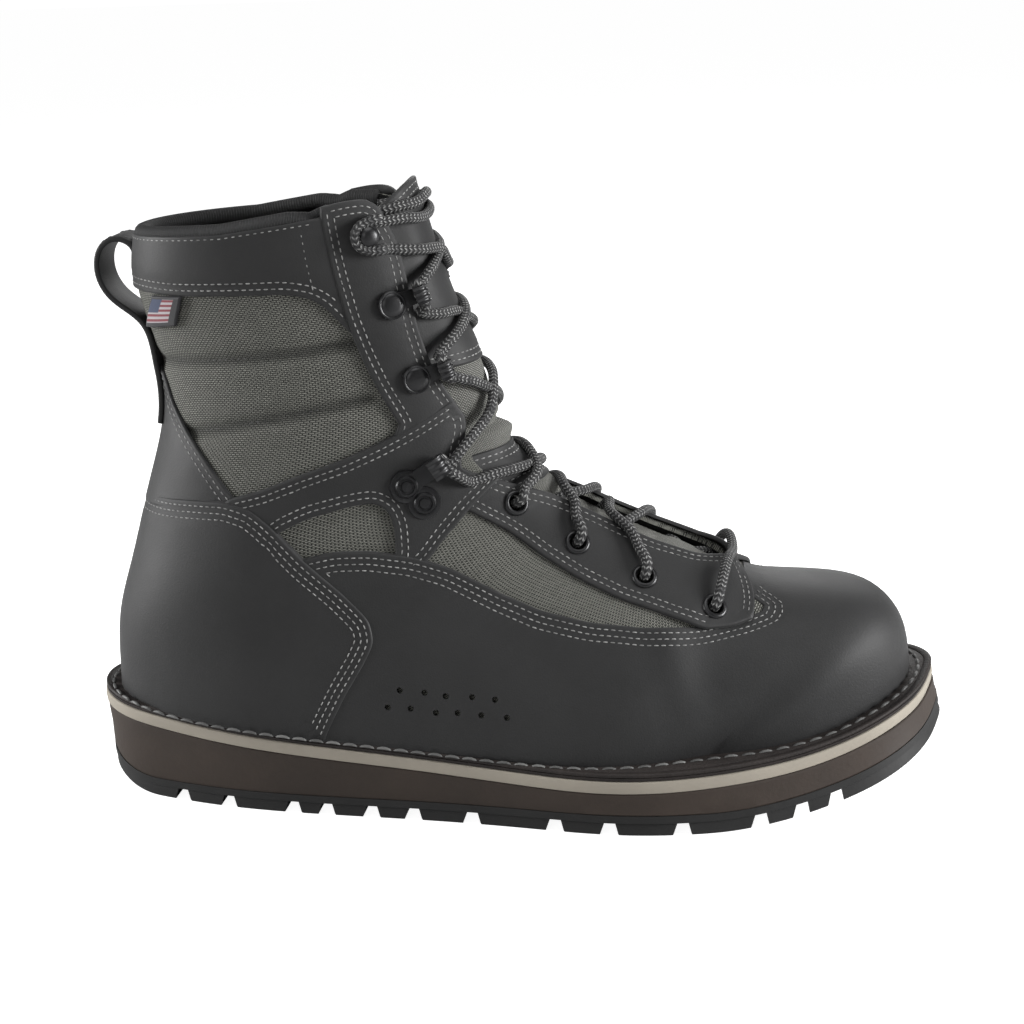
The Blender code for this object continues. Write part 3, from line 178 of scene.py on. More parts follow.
LABEL_CORNERS = ((.114, 2.765), (.150, 2.77), (.139, 2.66), (.097, 2.635))
QUILT_LINES = (((.04, 2.46), (.07, 2.48), (.136, 2.505), (.213, 2.53), (.280, 2.555),
                (.345, 2.59)),
               ((.06, 2.17), (.10, 2.20), (.150, 2.235), (.206, 2.275), (.276, 2.32),
                (.352, 2.37)))

# Lacing points on the outer side, and the drain holes, as share and level
EYELETS = ((.507, 1.83), (.576, 1.47), (.652, 1.185), (.7285, .955))
HOOKS = ((.354, 2.98), (.378, 2.72), (.402, 2.44))
LOCK_HOOK = (.397, 2.02)
DRAINS = ((.379, .638), (.407, .628), (.431, .612), (.461, .609), (.487, .599),
          (.365, .558), (.391, .553), (.420, .535), (.4445, .536), (.4715, .527),
          (.5003, .519))

# Centres of the side notches between the lugs, and the back loop's middle line
NOTCHES = (.110, .169, .248, .288, .341, .390, .458, .553, .614, .695, .781, .827, .866)
# The notches' width, depth from the side and flare, the grooves between them, and how
# far the cutting tool goes below the floor and beyond the side
NOTCH_WIDTH = 3.6
NOTCH_REACH = 15.0
NOTCH_FLARE = 1.3
CENTRE_GROOVE = 3.2
GROOVE_SKEW = 4.0
GROOVE_END = 3.0
CUT_BELOW = -4.0
CUT_BEYOND = 12.0
LOOP_PATH = ((0.2, -7.5), (-.4, -2.4), (-3.6, .2), (-8.0, .5), (-12.0, -2.4), (-13.9, -8.0),
             (-13.1, -14.2), (-9.6, -20.0), (-3.8, -24.8), (0.6, -28.8))
LOOP_TAIL = (0.145, 0.205)

# The photograph's camera in the boot's directions, and its angles in degrees
CAMERA_PLACE = (222.3, -680.8, 283.3)
CAMERA_YAW = -5.631
CAMERA_PITCH = 15.0
CAMERA_ROLL = -1.759
CAMERA_LENS = 68.45

# How far apart mesh points lie on the wall, and the distance scale across its rings
GIRTH = 230.0
FINE = 2.6
EDGE_STEP = 1.6


class BootSizes(PropertyGroup):
    """Sizes of thread, cord and hardware that a user may change."""

    thread: FloatProperty(name="Thread", description="Thickness of the seam thread",
                          default=0.00035, unit="LENGTH")
    stitch: FloatProperty(name="Stitch", description="Length of one seam stitch",
                          default=0.0017, unit="LENGTH")
    stitch_gap: FloatProperty(name="Stitch gap", description="Space between seam stitches",
                              default=0.0008, unit="LENGTH")
    row_gap: FloatProperty(name="Row gap", description="Distance between rows of stitches",
                           default=0.0022, unit="LENGTH")
    lace: FloatProperty(name="Lace", description="Thickness of the lace",
                        default=0.0038, unit="LENGTH")
    eyelet: FloatProperty(name="Eyelet", description="Outer radius of an eyelet",
                          default=0.0046, unit="LENGTH")
    weave: FloatProperty(name="Weave", description="Length of one yarn float in the cloth",
                         default=0.00112, unit="LENGTH")


class BootColours(PropertyGroup):
    """Colours of the boot's materials."""

    leather: FloatVectorProperty(name="Leather", description="Nubuck of the panels",
                                 default=(0.0172, 0.0172, 0.0175), subtype="COLOR", size=3)
    cloth: FloatVectorProperty(name="Cloth", description="Pale yarn of the woven wall",
                               default=(0.170, 0.170, 0.150), subtype="COLOR", size=3)
    cloth_deep: FloatVectorProperty(name="Cloth ground", description="Dark yarn of the wall",
                                    default=(0.014, 0.0145, 0.013), subtype="COLOR", size=3)
    thread: FloatVectorProperty(name="Thread", description="Seam thread",
                                default=(0.20, 0.20, 0.195), subtype="COLOR", size=3)
    welt: FloatVectorProperty(name="Welt", description="Welt leather",
                              default=(0.014, 0.011, 0.010), subtype="COLOR", size=3)
    slip: FloatVectorProperty(name="Slip", description="Pale layer under the welt",
                              default=(0.27, 0.245, 0.205), subtype="COLOR", size=3)
    midsole: FloatVectorProperty(name="Midsole", description="Foam wedge",
                                 default=(0.027, 0.020, 0.016), subtype="COLOR", size=3)
    rubber: FloatVectorProperty(name="Rubber", description="Lugged outsole",
                                default=(0.010, 0.010, 0.010), subtype="COLOR", size=3)
    lace: FloatVectorProperty(name="Lace", description="Ground of the lace",
                              default=(0.035, 0.035, 0.036), subtype="COLOR", size=3)


def spline(knots, values, at):
    """Natural cubic through the values at the knots, read at the given places."""
    knots = np.asarray(knots, float)
    values = np.asarray(values, float)
    count = len(knots)
    step = np.diff(knots)
    matrix = np.zeros((count, count))
    right = np.zeros((count,) + values.shape[1:])
    matrix[0, 0] = matrix[-1, -1] = 1.0
    for i in range(1, count - 1):
        matrix[i, i - 1:i + 2] = step[i - 1], 2 * (step[i - 1] + step[i]), step[i]
        right[i] = 6 * ((values[i + 1] - values[i]) / step[i]
                        - (values[i] - values[i - 1]) / step[i - 1])
    bend = np.linalg.solve(matrix, right)
    at = np.asarray(at, float)
    low = np.clip(np.searchsorted(knots, at, side="right") - 1, 0, count - 2)
    along = at - knots[low]
    width = step[low]
    if values.ndim > 1:
        along = along[..., None]
        width = width[..., None]
    cubic = (bend[low + 1] - bend[low]) / (6 * width)
    slope = (values[low + 1] - values[low]) / width - width * (2 * bend[low] + bend[low + 1]) / 6
    return values[low] + along * (slope + along * (bend[low] / 2 + along * cubic))


def height(level):
    """Height of a level: floor, toe, instep and collar are 0, 1, 2 and 3."""
    level = np.asarray(level, float)
    base = np.interp(level, [0, 1, 2, 3], [0.0, TOE_HEIGHT, INSTEP_HEIGHT, COLLAR_HEIGHT])
    below = np.minimum(level, 0) * TOE_HEIGHT
    above = np.maximum(level - 3, 0) * (COLLAR_HEIGHT - INSTEP_HEIGHT)
    return base + below + above


def width_at(wide):
    """Width that a share refers to: 0 ball, 1 heel, 2 shaft."""
    return np.interp(wide, [0, 1, 2], [BALL_WIDTH, HEEL_WIDTH, SHAFT_WIDTH])


def section_table():
    """Sections in millimetres, one row each."""
    rows = []
    for fx, fl, fy, bx, bl, outer, inner, wide, widest, behind, ahead in SECTIONS:
        width = float(width_at(wide))
        rows.append((fx * SOLE_LENGTH, float(height(fl)), fy * SOLE_LENGTH, bx * SOLE_LENGTH,
                     float(height(bl)), outer * width, inner * width, widest, behind, ahead))
    return np.array(rows)


TABLE = section_table()
REACH = np.concatenate([[0], np.cumsum(np.maximum(
    0.5 * np.linalg.norm(np.diff(TABLE[:, 0:2], axis=0), axis=1)
    + 0.5 * np.linalg.norm(np.diff(TABLE[:, 3:5], axis=0), axis=1), 4.0))])
SPAN = np.array([REACH[-1], GIRTH])


def last_point(v, u):
    """Outside of the wall. v runs from collar to toe, u round from the back."""
    v = np.asarray(v, float)
    u = np.asarray(u, float)
    row = spline(REACH, TABLE, v * REACH[-1])
    fx, fz, fy, bx, bz, outer, inner, widest, behind, before = (row[..., i] for i in range(10))
    c = np.cos(2 * np.pi * u)
    s = np.sin(2 * np.pi * u)
    power = np.where(c > 0, behind, before)
    ahead = np.abs(c) ** (2 / power)
    aside = np.abs(s) ** (2 / power)
    share = np.where(c > 0, widest * (1 - ahead), widest + (1 - widest) * ahead)
    y = fy * share + np.where(s > 0, -outer, inner) * aside
    return np.stack([bx + (fx - bx) * share, y, bz + (fz - bz) * share], -1)


def unit(vectors):
    """Vectors at length 1."""
    return vectors / np.maximum(np.linalg.norm(vectors, axis=-1, keepdims=True), 1e-9)


def lengths(points):
    """Distance along a line from its start to each of its points."""
    return np.concatenate([[0], np.cumsum(np.linalg.norm(np.diff(points, axis=0), axis=1))])


def band(a, b, count):
    """Faces between two rings of points, of which the first ones are a and b."""
    return [(a + k, a + (k + 1) % count, b + (k + 1) % count, b + k) for k in range(count)]


def tube(rings, count, closed=False):
    """Faces of a tube of rings: joined to itself, or with a cap at each end."""
    faces = []
    for i in range(rings if closed else rings - 1):
        faces += band(i * count, (i + 1) % rings * count, count)
    if not closed:
        faces += [tuple(range(count))[::-1], tuple(range((rings - 1) * count, rings * count))]
    return faces


def tangents(v, u):
    """Directions along and around the wall, per unit of v and of u."""
    dv = 0.002
    du = 0.004
    along = (last_point(np.asarray(v) + dv, u) - last_point(np.asarray(v) - dv, u)) / (2 * dv)
    around = (last_point(v, np.asarray(u) + du) - last_point(v, np.asarray(u) - du)) / (2 * du)
    return along, around


def last_normal(v, u):
    """Outward direction of the wall."""
    return unit(np.cross(*tangents(v, u)))


def wall_point(v, u, out):
    """Point at a distance outside the wall's outer face."""
    return last_point(v, u) + last_normal(v, u) * np.asarray(out, float)[..., None]


SCAN = np.linspace(-0.02, 1.0, 3001)
SCAN_ROWS = spline(REACH, TABLE, SCAN * REACH[-1])


def look_up(x, z):
    """Row v, share along the row's line and u that the side view shows at x, z."""
    front = SCAN_ROWS[:, 0:2]
    back = SCAN_ROWS[:, 3:5]
    line = front - back
    point = np.array([x, z]) - back
    side = line[:, 0] * point[:, 1] - line[:, 1] * point[:, 0]
    share = (line * point).sum(1) / (line * line).sum(1)
    crossing = np.nonzero(side[:-1] * side[1:] <= 0)[0]
    if len(crossing) == 0:
        crossing = np.array([int(np.argmin(np.abs(side)))])
    miss = np.maximum(np.maximum(-share[crossing], share[crossing] - 1), 0)
    i = int(crossing[int(np.argmin(miss))])
    j = min(i + 1, len(SCAN) - 1)
    mix = side[i] / (side[i] - side[j]) if side[i] != side[j] else 0.0
    v = SCAN[i] + (SCAN[j] - SCAN[i]) * mix
    raw = float(share[i] + (share[j] - share[i]) * mix)
    s = min(max(raw, 0.0), 1.0)
    widest, behind, before = SCAN_ROWS[i, 7:10]
    if s < widest:
        c = (1 - s / widest) ** (behind / 2)
    else:
        c = -(((s - widest) / (1 - widest)) ** (before / 2))
    return v, raw, math.acos(max(-1.0, min(1.0, c))) / (2 * math.pi)


def find(share, level):
    """Place (v, u) on the outer side of a side-view point."""
    v, _, u = look_up(share * SOLE_LENGTH, float(height(level)))
    return v, u


def slip_top(x):
    """Height of the top of the slip layer at x."""
    rows = np.array(SLIP_TOP)
    z = rows[:, 1] * HEEL_STACK + rows[:, 2] * BALL_STACK + rows[:, 3] * TOE_STACK
    return spline(rows[:, 0], z, np.clip(np.asarray(x, float) / SOLE_LENGTH, -0.05, 1.05))


def floor_line(x):
    """Height of the tread: heel bevel, flat, then toe spring."""
    share = np.asarray(x, float) / SOLE_LENGTH
    bevel = np.clip((0.08 - share) / 0.08, 0, 1.1)
    spring = np.clip((share - 0.72) / 0.28, 0, 1.1)
    return HEEL_BEVEL * bevel ** 2 + TOE_SPRING * spring ** 2


def feather(x):
    """Height at which the upper stands on the welt."""
    return slip_top(x) + WELT + GAP


def side_lean(x, z):
    """How far the sole's side moves inwards below its top."""
    depth = (slip_top(x) - z) / HEEL_STACK
    share = np.asarray(x, float) / SOLE_LENGTH
    return depth * np.interp(share, [0, .30, .60, .86, 1.0], [2.0, .6, -1.0, -4.5, -7.0])


# Points that the closed outline repeats before its start and after its end
LAP = 4


def sole_loop(inset, stations):
    """Outer and inner side of the sole's outline, heel to toe, moved inwards by inset."""
    edge = np.array(SOLE_EDGE)
    widths = width_at(edge[:, 3])
    outer = [(e[0] * SOLE_LENGTH, -e[1] * w) for e, w in zip(edge, widths)]
    inner = [(e[0] * SOLE_LENGTH, e[2] * w) for e, w in zip(edge, widths)]
    ring = outer + inner[-2:0:-1]
    wrapped = np.array(ring[-LAP:] + ring + ring[:LAP + 1])
    reach = lengths(wrapped)
    reach = reach - reach[LAP]
    toe = reach[LAP + len(outer) - 1]
    period = reach[LAP + len(ring)]
    sides = []
    for end in (0.0, period):
        at = np.linspace(end, toe, stations + 1)
        along = unit(spline(reach, wrapped, at + 0.4) - spline(reach, wrapped, at - 0.4))
        inward = np.stack([-along[:, 1], along[:, 0]], -1)
        place = spline(reach, wrapped, at)
        amount = inset(place[:, 0]) if callable(inset) else np.full(len(at), float(inset))
        sides.append(place + inward * amount[:, None])
    sides[1][0] = sides[0][0] = (sides[0][0] + sides[1][0]) / 2
    sides[1][-1] = sides[0][-1] = (sides[0][-1] + sides[1][-1]) / 2
    return sides


def frame_shift():
    """Move from the boot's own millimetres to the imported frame's, from the outsole."""
    loops = []
    for drop, inset in ((OUTSOLE, 0.0), (LUG_DEPTH, 0.0), (LUG_DEPTH - 0.4, 0.5), (0.0, 0.2)):
        loops += sole_loop(lambda x, d=drop, i=inset: side_lean(x, floor_line(x) + d) + i, 28)
    points = np.concatenate(loops)
    low, high = (np.array(corner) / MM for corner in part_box("outsole"))
    middle = (points.min(axis=0) + points.max(axis=0)) / 2
    return np.array([low[0] - points.min(axis=0)[0], (low[1] + high[1]) / 2 - middle[1], 0.0])


SHIFT = frame_shift()
FEATHER_U = np.linspace(0, 0.5, 241)


def feather_rows():
    """Row v at which each step round the outer side meets the welt."""
    v = np.linspace(0.05, 1.0, 1200)
    grid = last_point(v[:, None], FEATHER_U[None, :])
    above = grid[..., 2] - feather(grid[..., 0])
    rows = []
    for k in range(len(FEATHER_U)):
        low = np.nonzero(above[:, k] <= 0)[0]
        i = max(int(low[0]), 1) if len(low) else len(v) - 1
        mix = above[i - 1, k] / (above[i - 1, k] - above[i, k] + 1e-12)
        rows.append(v[i - 1] + (v[i] - v[i - 1]) * min(max(mix, 0), 1))
    return np.array(rows)


FEATHER_V = feather_rows()


def feather_loop(outset, count):
    """Closed line round the upper's foot, moved outwards, at even distances."""
    u = np.linspace(0, 1, 721)
    v = np.interp(np.minimum(u, 1 - u), FEATHER_U, FEATHER_V)
    line = last_point(v, u)[:, :2]
    line = np.concatenate([line, line[1:2]])
    along = unit(np.gradient(line, axis=0))
    moved = line + np.stack([along[:, 1], -along[:, 0]], -1) * outset
    moved = moved[:-1]
    reach = lengths(moved)
    at = np.linspace(0, reach[-1], count, endpoint=False)
    return np.stack([np.interp(at, reach, moved[:, k]) for k in (0, 1)], -1)


def side_view(line):
    """Points of a side-view line in millimetres."""
    return [(x * SOLE_LENGTH, float(height(level))) for x, level in line]


def welt_run(start, end, steps=60):
    """Side-view line under the welt's top, between two shares of the sole's length."""
    x = np.linspace(start, end, steps) * SOLE_LENGTH
    return list(zip(x, feather(x) - WELT))


def densify(points, step, closed=True):
    """Extra points so that no stretch is longer than step."""
    out = []
    pairs = list(zip(points, points[1:] + points[:1])) if closed else list(zip(points, points[1:]))
    for (ax, az), (bx, bz) in pairs:
        parts = max(1, int(math.ceil(math.hypot(bx - ax, bz - az) / step)))
        out += [(ax + (bx - ax) * k / parts, az + (bz - az) * k / parts) for k in range(parts)]
    return out if closed else out + [points[-1]]


# Bend radius of a panel's shallow corners, and the turn in degrees that stays sharp
BEND_RADIUS = 3.0
SHARP_TURN = 42.0


def rounded(points):
    """Side-view line with its shallow corners turned into smooth bends."""
    fine = densify(points, 1.0, True)
    ring = np.array(fine)
    sharp = np.zeros(len(ring), bool)
    marks = {tuple(np.round(p, 6)) for k, p in enumerate(points)
             if corner_turn(points[k - 1], p, points[(k + 1) % len(points)]) > SHARP_TURN}
    for i, p in enumerate(fine):
        sharp[i] = tuple(np.round(p, 6)) in marks
    for _ in range(int(BEND_RADIUS ** 2)):
        moved = 0.25 * np.roll(ring, 1, axis=0) + 0.5 * ring + 0.25 * np.roll(ring, -1, axis=0)
        ring = np.where(sharp[:, None], ring, moved)
    return [tuple(p) for p in ring]


def corner_turn(before, here, after):
    """Angle that a line turns through at a point, in degrees."""
    a = Vector(here) - Vector(before)
    b = Vector(after) - Vector(here)
    if a.length < 1e-6 or b.length < 1e-6:
        return 0.0
    return math.degrees(a.angle(b))


def shrink(points, inset):
    """Closed outline moved inwards, with mitred corners."""
    turn = sum(a[0] * b[1] - b[0] * a[1] for a, b in zip(points, points[1:] + points[:1]))
    sign = 1.0 if turn > 0 else -1.0
    out = []
    for i, here in enumerate(points):
        before = Vector(here) - Vector(points[i - 1])
        after = Vector(points[(i + 1) % len(points)]) - Vector(here)
        left = [Vector((-d.y, d.x)).normalized() * sign for d in (before, after)]
        mean = left[0] + left[1]
        if mean.length < 0.2:
            mean = left[0]
        mean.normalize()
        scale = min(1.0 / max(mean.dot(left[0]), 0.3), 2.0)
        out.append((here[0] + mean.x * inset * scale, here[1] + mean.y * inset * scale))
    return out


# How far a panel may reach below the line where the upper stands on the welt
FOOT_SUNK = 1.2


def trace(points, closed=True):
    """Places (v, u) of a side-view line, ending where it leaves the boot's silhouette."""
    points = [Vector((x, max(z, float(feather(x)) - FOOT_SUNK))) for x, z in points]
    marks = [look_up(*p) for p in points]
    places = []
    for i in range(len(points) if closed else len(points) - 1):
        j = (i + 1) % len(points)
        if 0 < marks[i][1] < 1:
            places.append((marks[i][0], marks[i][2]))
        if (0 < marks[i][1] < 1) == (0 < marks[j][1] < 1):
            continue
        inside, outside = (i, j) if 0 < marks[i][1] < 1 else (j, i)
        near, far = points[inside], points[outside]
        for _ in range(24):
            middle = (near + far) / 2
            share = look_up(*middle)[1]
            if 0 < share < 1:
                near = middle
            else:
                far = middle
        end = look_up(*near)
        run = []
        for q in (0.85, 0.7, 0.55, 0.4, 0.25, 0.12):
            v, _, u = look_up(*(near + (points[inside] - near) * q * q))
            run.append((v, u))
        run.append((end[0], 0.0 if end[1] < 0.5 else 0.5))
        places += run if inside == i else run[::-1]
    if not closed and 0 < marks[-1][1] < 1:
        places.append((marks[-1][0], marks[-1][2]))
    return places


def half_outline(points, grow, step=EDGE_STEP):
    """Side-view outline as places (v, u) on the outer side, closed along its middle line."""
    places = []
    for v, u in trace(densify(shrink(points, -grow), step)):
        gap = 0.0
        if places:
            gap = math.hypot((v - places[-1][0]) * SPAN[0], (u - places[-1][1]) * SPAN[1])
        if not places or gap > 0.2 * step:
            places.append((v, u))
        elif u in (0.0, 0.5):
            places[-1] = (v, u)
    filled = []
    for here, there in zip(places, places[1:] + places[:1]):
        filled.append(here)
        if here[1] == there[1] and here[1] in (0.0, 0.5):
            parts = int(abs(there[0] - here[0]) * SPAN[0] / FINE)
            filled += [(here[0] + (there[0] - here[0]) * k / parts, here[1])
                       for k in range(1, parts)]
    return np.array(filled)


def within(ring, points):
    """Which points lie inside a closed outline."""
    after = np.roll(ring, -1, axis=0)
    inside = np.zeros(len(points), bool)
    for (ax, ay), (bx, by) in zip(ring, after):
        if ay == by:
            continue
        crosses = (ay > points[:, 1]) != (by > points[:, 1])
        at = ax + (points[:, 1] - ay) * (bx - ax) / (by - ay)
        inside ^= crosses & (at > points[:, 0])
    return inside


def edge_runs(ring):
    """Stretches of an outline that don't lie on the boot's middle line."""
    on_middle = np.isin(ring[:, 1], (0.0, 0.5))
    if not on_middle.any():
        return [(ring, True)]
    count = len(ring)
    runs = []
    starts = [i for i in range(count) if on_middle[i] and not on_middle[(i + 1) % count]]
    for start in starts:
        run = [ring[start]]
        i = (start + 1) % count
        while not on_middle[i]:
            run.append(ring[i])
            i = (i + 1) % count
        run.append(ring[i])
        runs.append((np.array(run), False))
    return runs


def inset_run(run, closed, distance):
    """A stretch of outline moved by a distance over the wall, to its left."""
    v, u = run.T
    points = last_point(v, u)
    if closed:
        along = np.roll(points, -1, axis=0) - np.roll(points, 1, axis=0)
    else:
        along = np.gradient(points, axis=0)
        for end in (0, -1):
            along[end] = (0.0, along[end][1], 0.0)
    along = unit(along)
    way = np.cross(last_normal(v, u), along)
    down, around = tangents(v, u)
    a = (down * down).sum(-1)
    b = (down * around).sum(-1)
    c = (around * around).sum(-1)
    p = (down * way).sum(-1) * distance
    q = (around * way).sum(-1) * distance
    fall = np.maximum(a * c - b * b, 1e-6)
    move = np.stack([(c * p - b * q) / fall, (a * q - b * p) / fall], -1)
    moved = run + move
    if not closed:
        moved[0, 1] = run[0, 1]
        moved[-1, 1] = run[-1, 1]
    return moved


def circle_places(v, u, radius, steps=14):
    """Ring of places at a distance round one place on the wall."""
    down, around = tangents(np.array([v]), np.array([u]))
    down, around = down[0], around[0]
    normal = unit(np.cross(down, around))
    first = unit(down)
    second = np.cross(normal, first)
    system = np.stack([down, around], -1)
    ring = []
    for k in range(steps):
        turn = 2 * math.pi * k / steps
        spoke = (first * math.cos(turn) + second * math.sin(turn)) * radius
        ring.append((v, u) + np.linalg.lstsq(system, spoke, rcond=None)[0])
    return np.array(ring)


def split_line(line, good):
    """Stretches of a line whose points are all good."""
    parts = []
    part = []
    for place, keep in zip(line, good):
        if keep:
            part.append(place)
        elif part:
            parts.append(part)
            part = []
    if part:
        parts.append(part)
    return [np.array(p) for p in parts if len(p) > 2]


def tree_of_points(points):
    """Search tree of points."""
    tree = KDTree(len(points))
    for i, p in enumerate(points):
        tree.insert(p, i)
    tree.balance()
    return tree


def wall_line(line, step=1.5):
    """Places on the wall's outer side along an open line of shares and levels."""
    return trace(densify(side_view(line), step, False), False)


def tree_of(lines, step=0.8):
    """Search tree of points along side-view lines, on the wall's outer side."""
    return tree_of_points([last_point(v, u) for line in lines for v, u in wall_line(line, step)])


# Distances of the lines that shape a sheet's rounded edge, the half width and depth of the
# groove that a seam pulls, how deep a rolled edge goes as a share of the thickness, and
# how far in from its edge leather is rubbed
EDGE_LINES = (0.22, 0.55, 1.0)
GROOVE_WIDTH = 0.5
GROOVE_DEPTH = 0.2
ROLL_SHARE = 0.62
RUB_REACH = 1.1


class Sheet:
    """A stretch of the wall inside an outline: its triangles and distances to its edge."""

    def __init__(self, ring, rows=(), holes=(), fine=FINE, sewn=()):
        self.ring = ring
        self.runs = edge_runs(ring)
        self.sewn = tree_of(sewn) if sewn else None
        self.tree = self.edge_tree()
        self.side = 1.0
        probe = inset_run(*self.runs[0], 0.3)[len(self.runs[0][0]) // 2]
        if not within(ring * SPAN, np.array([probe * SPAN]))[0]:
            self.side = -1.0
        lines = []
        for run, closed in self.runs:
            for distance in (*EDGE_LINES, *rows):
                lines += self.kept_line(run, closed, distance)
        low = ring.min(axis=0) * SPAN
        high = ring.max(axis=0) * SPAN
        grid = []
        for i, a in enumerate(np.arange(low[0], high[0], fine * 0.87)):
            for b in np.arange(low[1] + (fine / 2 if i % 2 else 0), high[1], fine):
                grid.append((a, b))
        grid = np.array(grid).reshape(-1, 2)
        grid = grid[within(ring * SPAN, grid)] / SPAN
        far = self.distance(grid) > max((*EDGE_LINES, *rows)) + 0.5 * fine
        grid = grid[far]
        middle_line = np.minimum(grid[:, 1], 0.5 - grid[:, 1]) * SPAN[1] > 0.4 * fine
        grid = grid[middle_line]
        self.places, self.faces = self.triangles(grid, lines, holes)
        self.seams = {row: self.seam_lines(row) for row in rows}
        seam_points = [p for found in self.seams.values() for line in found
                       for p in last_point(*line.T)]
        self.seam_tree = tree_of_points(seam_points) if seam_points else None

    def seam_lines(self, row):
        """Lines of stitches at a distance inside the sewn parts of the edge."""
        lines = []
        for run, closed in self.runs:
            for line in self.kept_line(run, closed, row):
                points = last_point(*line.T)
                near = [self.sewn is None or self.sewn.find(p)[2] < row * 1.12 + 0.9
                        for p in points]
                lines += split_line(line, near)
        return lines

    def groove(self, places):
        """How near each place is to a line of stitches, 1 on the line."""
        if self.seam_tree is None:
            return np.zeros(len(places))
        half = np.stack([places[:, 0], np.minimum(places[:, 1], 1 - places[:, 1])], -1)
        near = np.array([self.seam_tree.find(p)[2] for p in last_point(*half.T)])
        return np.exp(-(near / GROOVE_WIDTH) ** 2)

    def edge_tree(self):
        """Search tree of points along the outline."""
        points = []
        for run, closed in self.runs:
            line = last_point(*run.T)
            ends = np.concatenate([line, line[:1]]) if closed else line
            for a, b in zip(ends, ends[1:]):
                parts = max(1, int(np.linalg.norm(b - a) / 0.35))
                points += [a + (b - a) * k / parts for k in range(parts)]
        return tree_of_points(points)

    def distance(self, places):
        """Distance from each place to the outline."""
        half = np.stack([places[:, 0], np.where(places[:, 1] > 0.5, 1 - places[:, 1],
                                                np.abs(places[:, 1]))], -1)
        return np.array([self.tree.find(p)[2] for p in last_point(*half.T)])

    def kept_line(self, run, closed, distance):
        """Parts of an inset line that keep their distance from the whole outline."""
        line = inset_run(run, closed, distance * self.side)
        good = self.distance(line) > distance * 0.9
        good &= within(self.ring * SPAN, line * SPAN) | np.isin(line[:, 1], (0.0, 0.5))
        good &= (line[:, 1] >= 0) & (line[:, 1] <= 0.5)
        if closed and good.all():
            return [np.concatenate([line, line[:1]])]
        if closed:
            first = int(np.argmin(good))
            line = np.roll(line, -first, axis=0)
            good = np.roll(good, -first)
        return split_line(line, good)

    def triangles(self, grid, lines, holes):
        """Constrained triangles of the outline, its inset lines and the loose grid."""
        points = [tuple(p) for p in self.ring]
        count = len(points)
        edges = [(i, (i + 1) % count) for i in range(count)]
        for line in lines:
            first = len(points)
            points += [tuple(p) for p in line]
            edges += [(first + i, first + i + 1) for i in range(len(line) - 1)]
        for hole in holes:
            first = len(points)
            points += [tuple(p) for p in hole]
            edges += [(first + i, first + (i + 1) % len(hole)) for i in range(len(hole))]
        points += [tuple(p) for p in grid]
        made = delaunay_2d_cdt([Vector(np.array(p) * SPAN) for p in points], edges, [], 0, 1e-3)
        places = np.array([(p.x, p.y) for p in made[0]]) / SPAN
        faces = [tuple(face) for face in made[2]]
        centres = np.array([places[list(face)].mean(axis=0) for face in faces])
        keep = within(self.ring * SPAN, centres * SPAN)
        for hole in holes:
            keep &= ~within(hole * SPAN, centres * SPAN)
        kept = [face for face, good in zip(faces, keep) if good]
        used = sorted({i for face in kept for i in face})
        order = {old: new for new, old in enumerate(used)}
        return places[used], [tuple(order[i] for i in face) for face in kept]

    def on_sides(self, sides):
        """Places and faces for the outer side, the inner side or both joined."""
        places = np.array(self.places)
        places[np.abs(places[:, 1]) < 1e-5, 1] = 0.0
        places[np.abs(places[:, 1] - 0.5) < 1e-5, 1] = 0.5
        if sides == "lateral":
            return places, self.faces
        if sides == "medial":
            return places * (1, -1) + (0, 1), [tuple(reversed(f)) for f in self.faces]
        twin = {}
        joined = list(map(tuple, places))
        for i, (v, u) in enumerate(places):
            if u in (0.0, 0.5):
                twin[i] = i
            else:
                twin[i] = len(joined)
                joined.append((v, 1 - u))
        mirrored = [tuple(twin[i] for i in reversed(face)) for face in self.faces]
        return np.array(joined), list(self.faces) + mirrored


def to_frame(points):
    """Points from the boot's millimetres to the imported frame's metres."""
    return (np.asarray(points, float) + SHIFT) * MM


def make_mesh(name, points, faces, look, sharp=50.0, uv=None, shades=None):
    """Closed, smooth piece that rides on the boot, from points in millimetres."""
    mesh = bpy.data.meshes.new(name)
    mesh.from_pydata([tuple(p) for p in to_frame(points)], [], faces)
    for key, values in (shades or {}).items():
        made = mesh.attributes.new(key, "FLOAT", "POINT")
        made.data.foreach_set("value", np.asarray(values, np.float32))
    if uv is not None:
        layer = mesh.uv_layers.new(name="cloth")
        corners = np.zeros(len(mesh.loops), np.int32)
        mesh.loops.foreach_get("vertex_index", corners)
        layer.data.foreach_set("uv", np.asarray(uv, np.float32)[corners].ravel())
    work = bmesh.new()
    work.from_mesh(mesh)
    bmesh.ops.recalc_face_normals(work, faces=work.faces)
    work.to_mesh(mesh)
    work.free()
    mesh.shade_smooth()
    mesh.set_sharp_from_angle(angle=math.radians(sharp))
    mesh.materials.append(look)
    piece = bpy.data.objects.new(name, mesh)
    bpy.context.scene.collection.objects.link(piece)
    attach(piece, "root")
    return piece


def rolled(distance, radius):
    """Share of the thickness that a rounded cut edge has lost, at a distance from it."""
    near = 1 - np.minimum(distance, radius) / radius
    return 1 - np.sqrt(np.maximum(1 - near * near, 0.0))


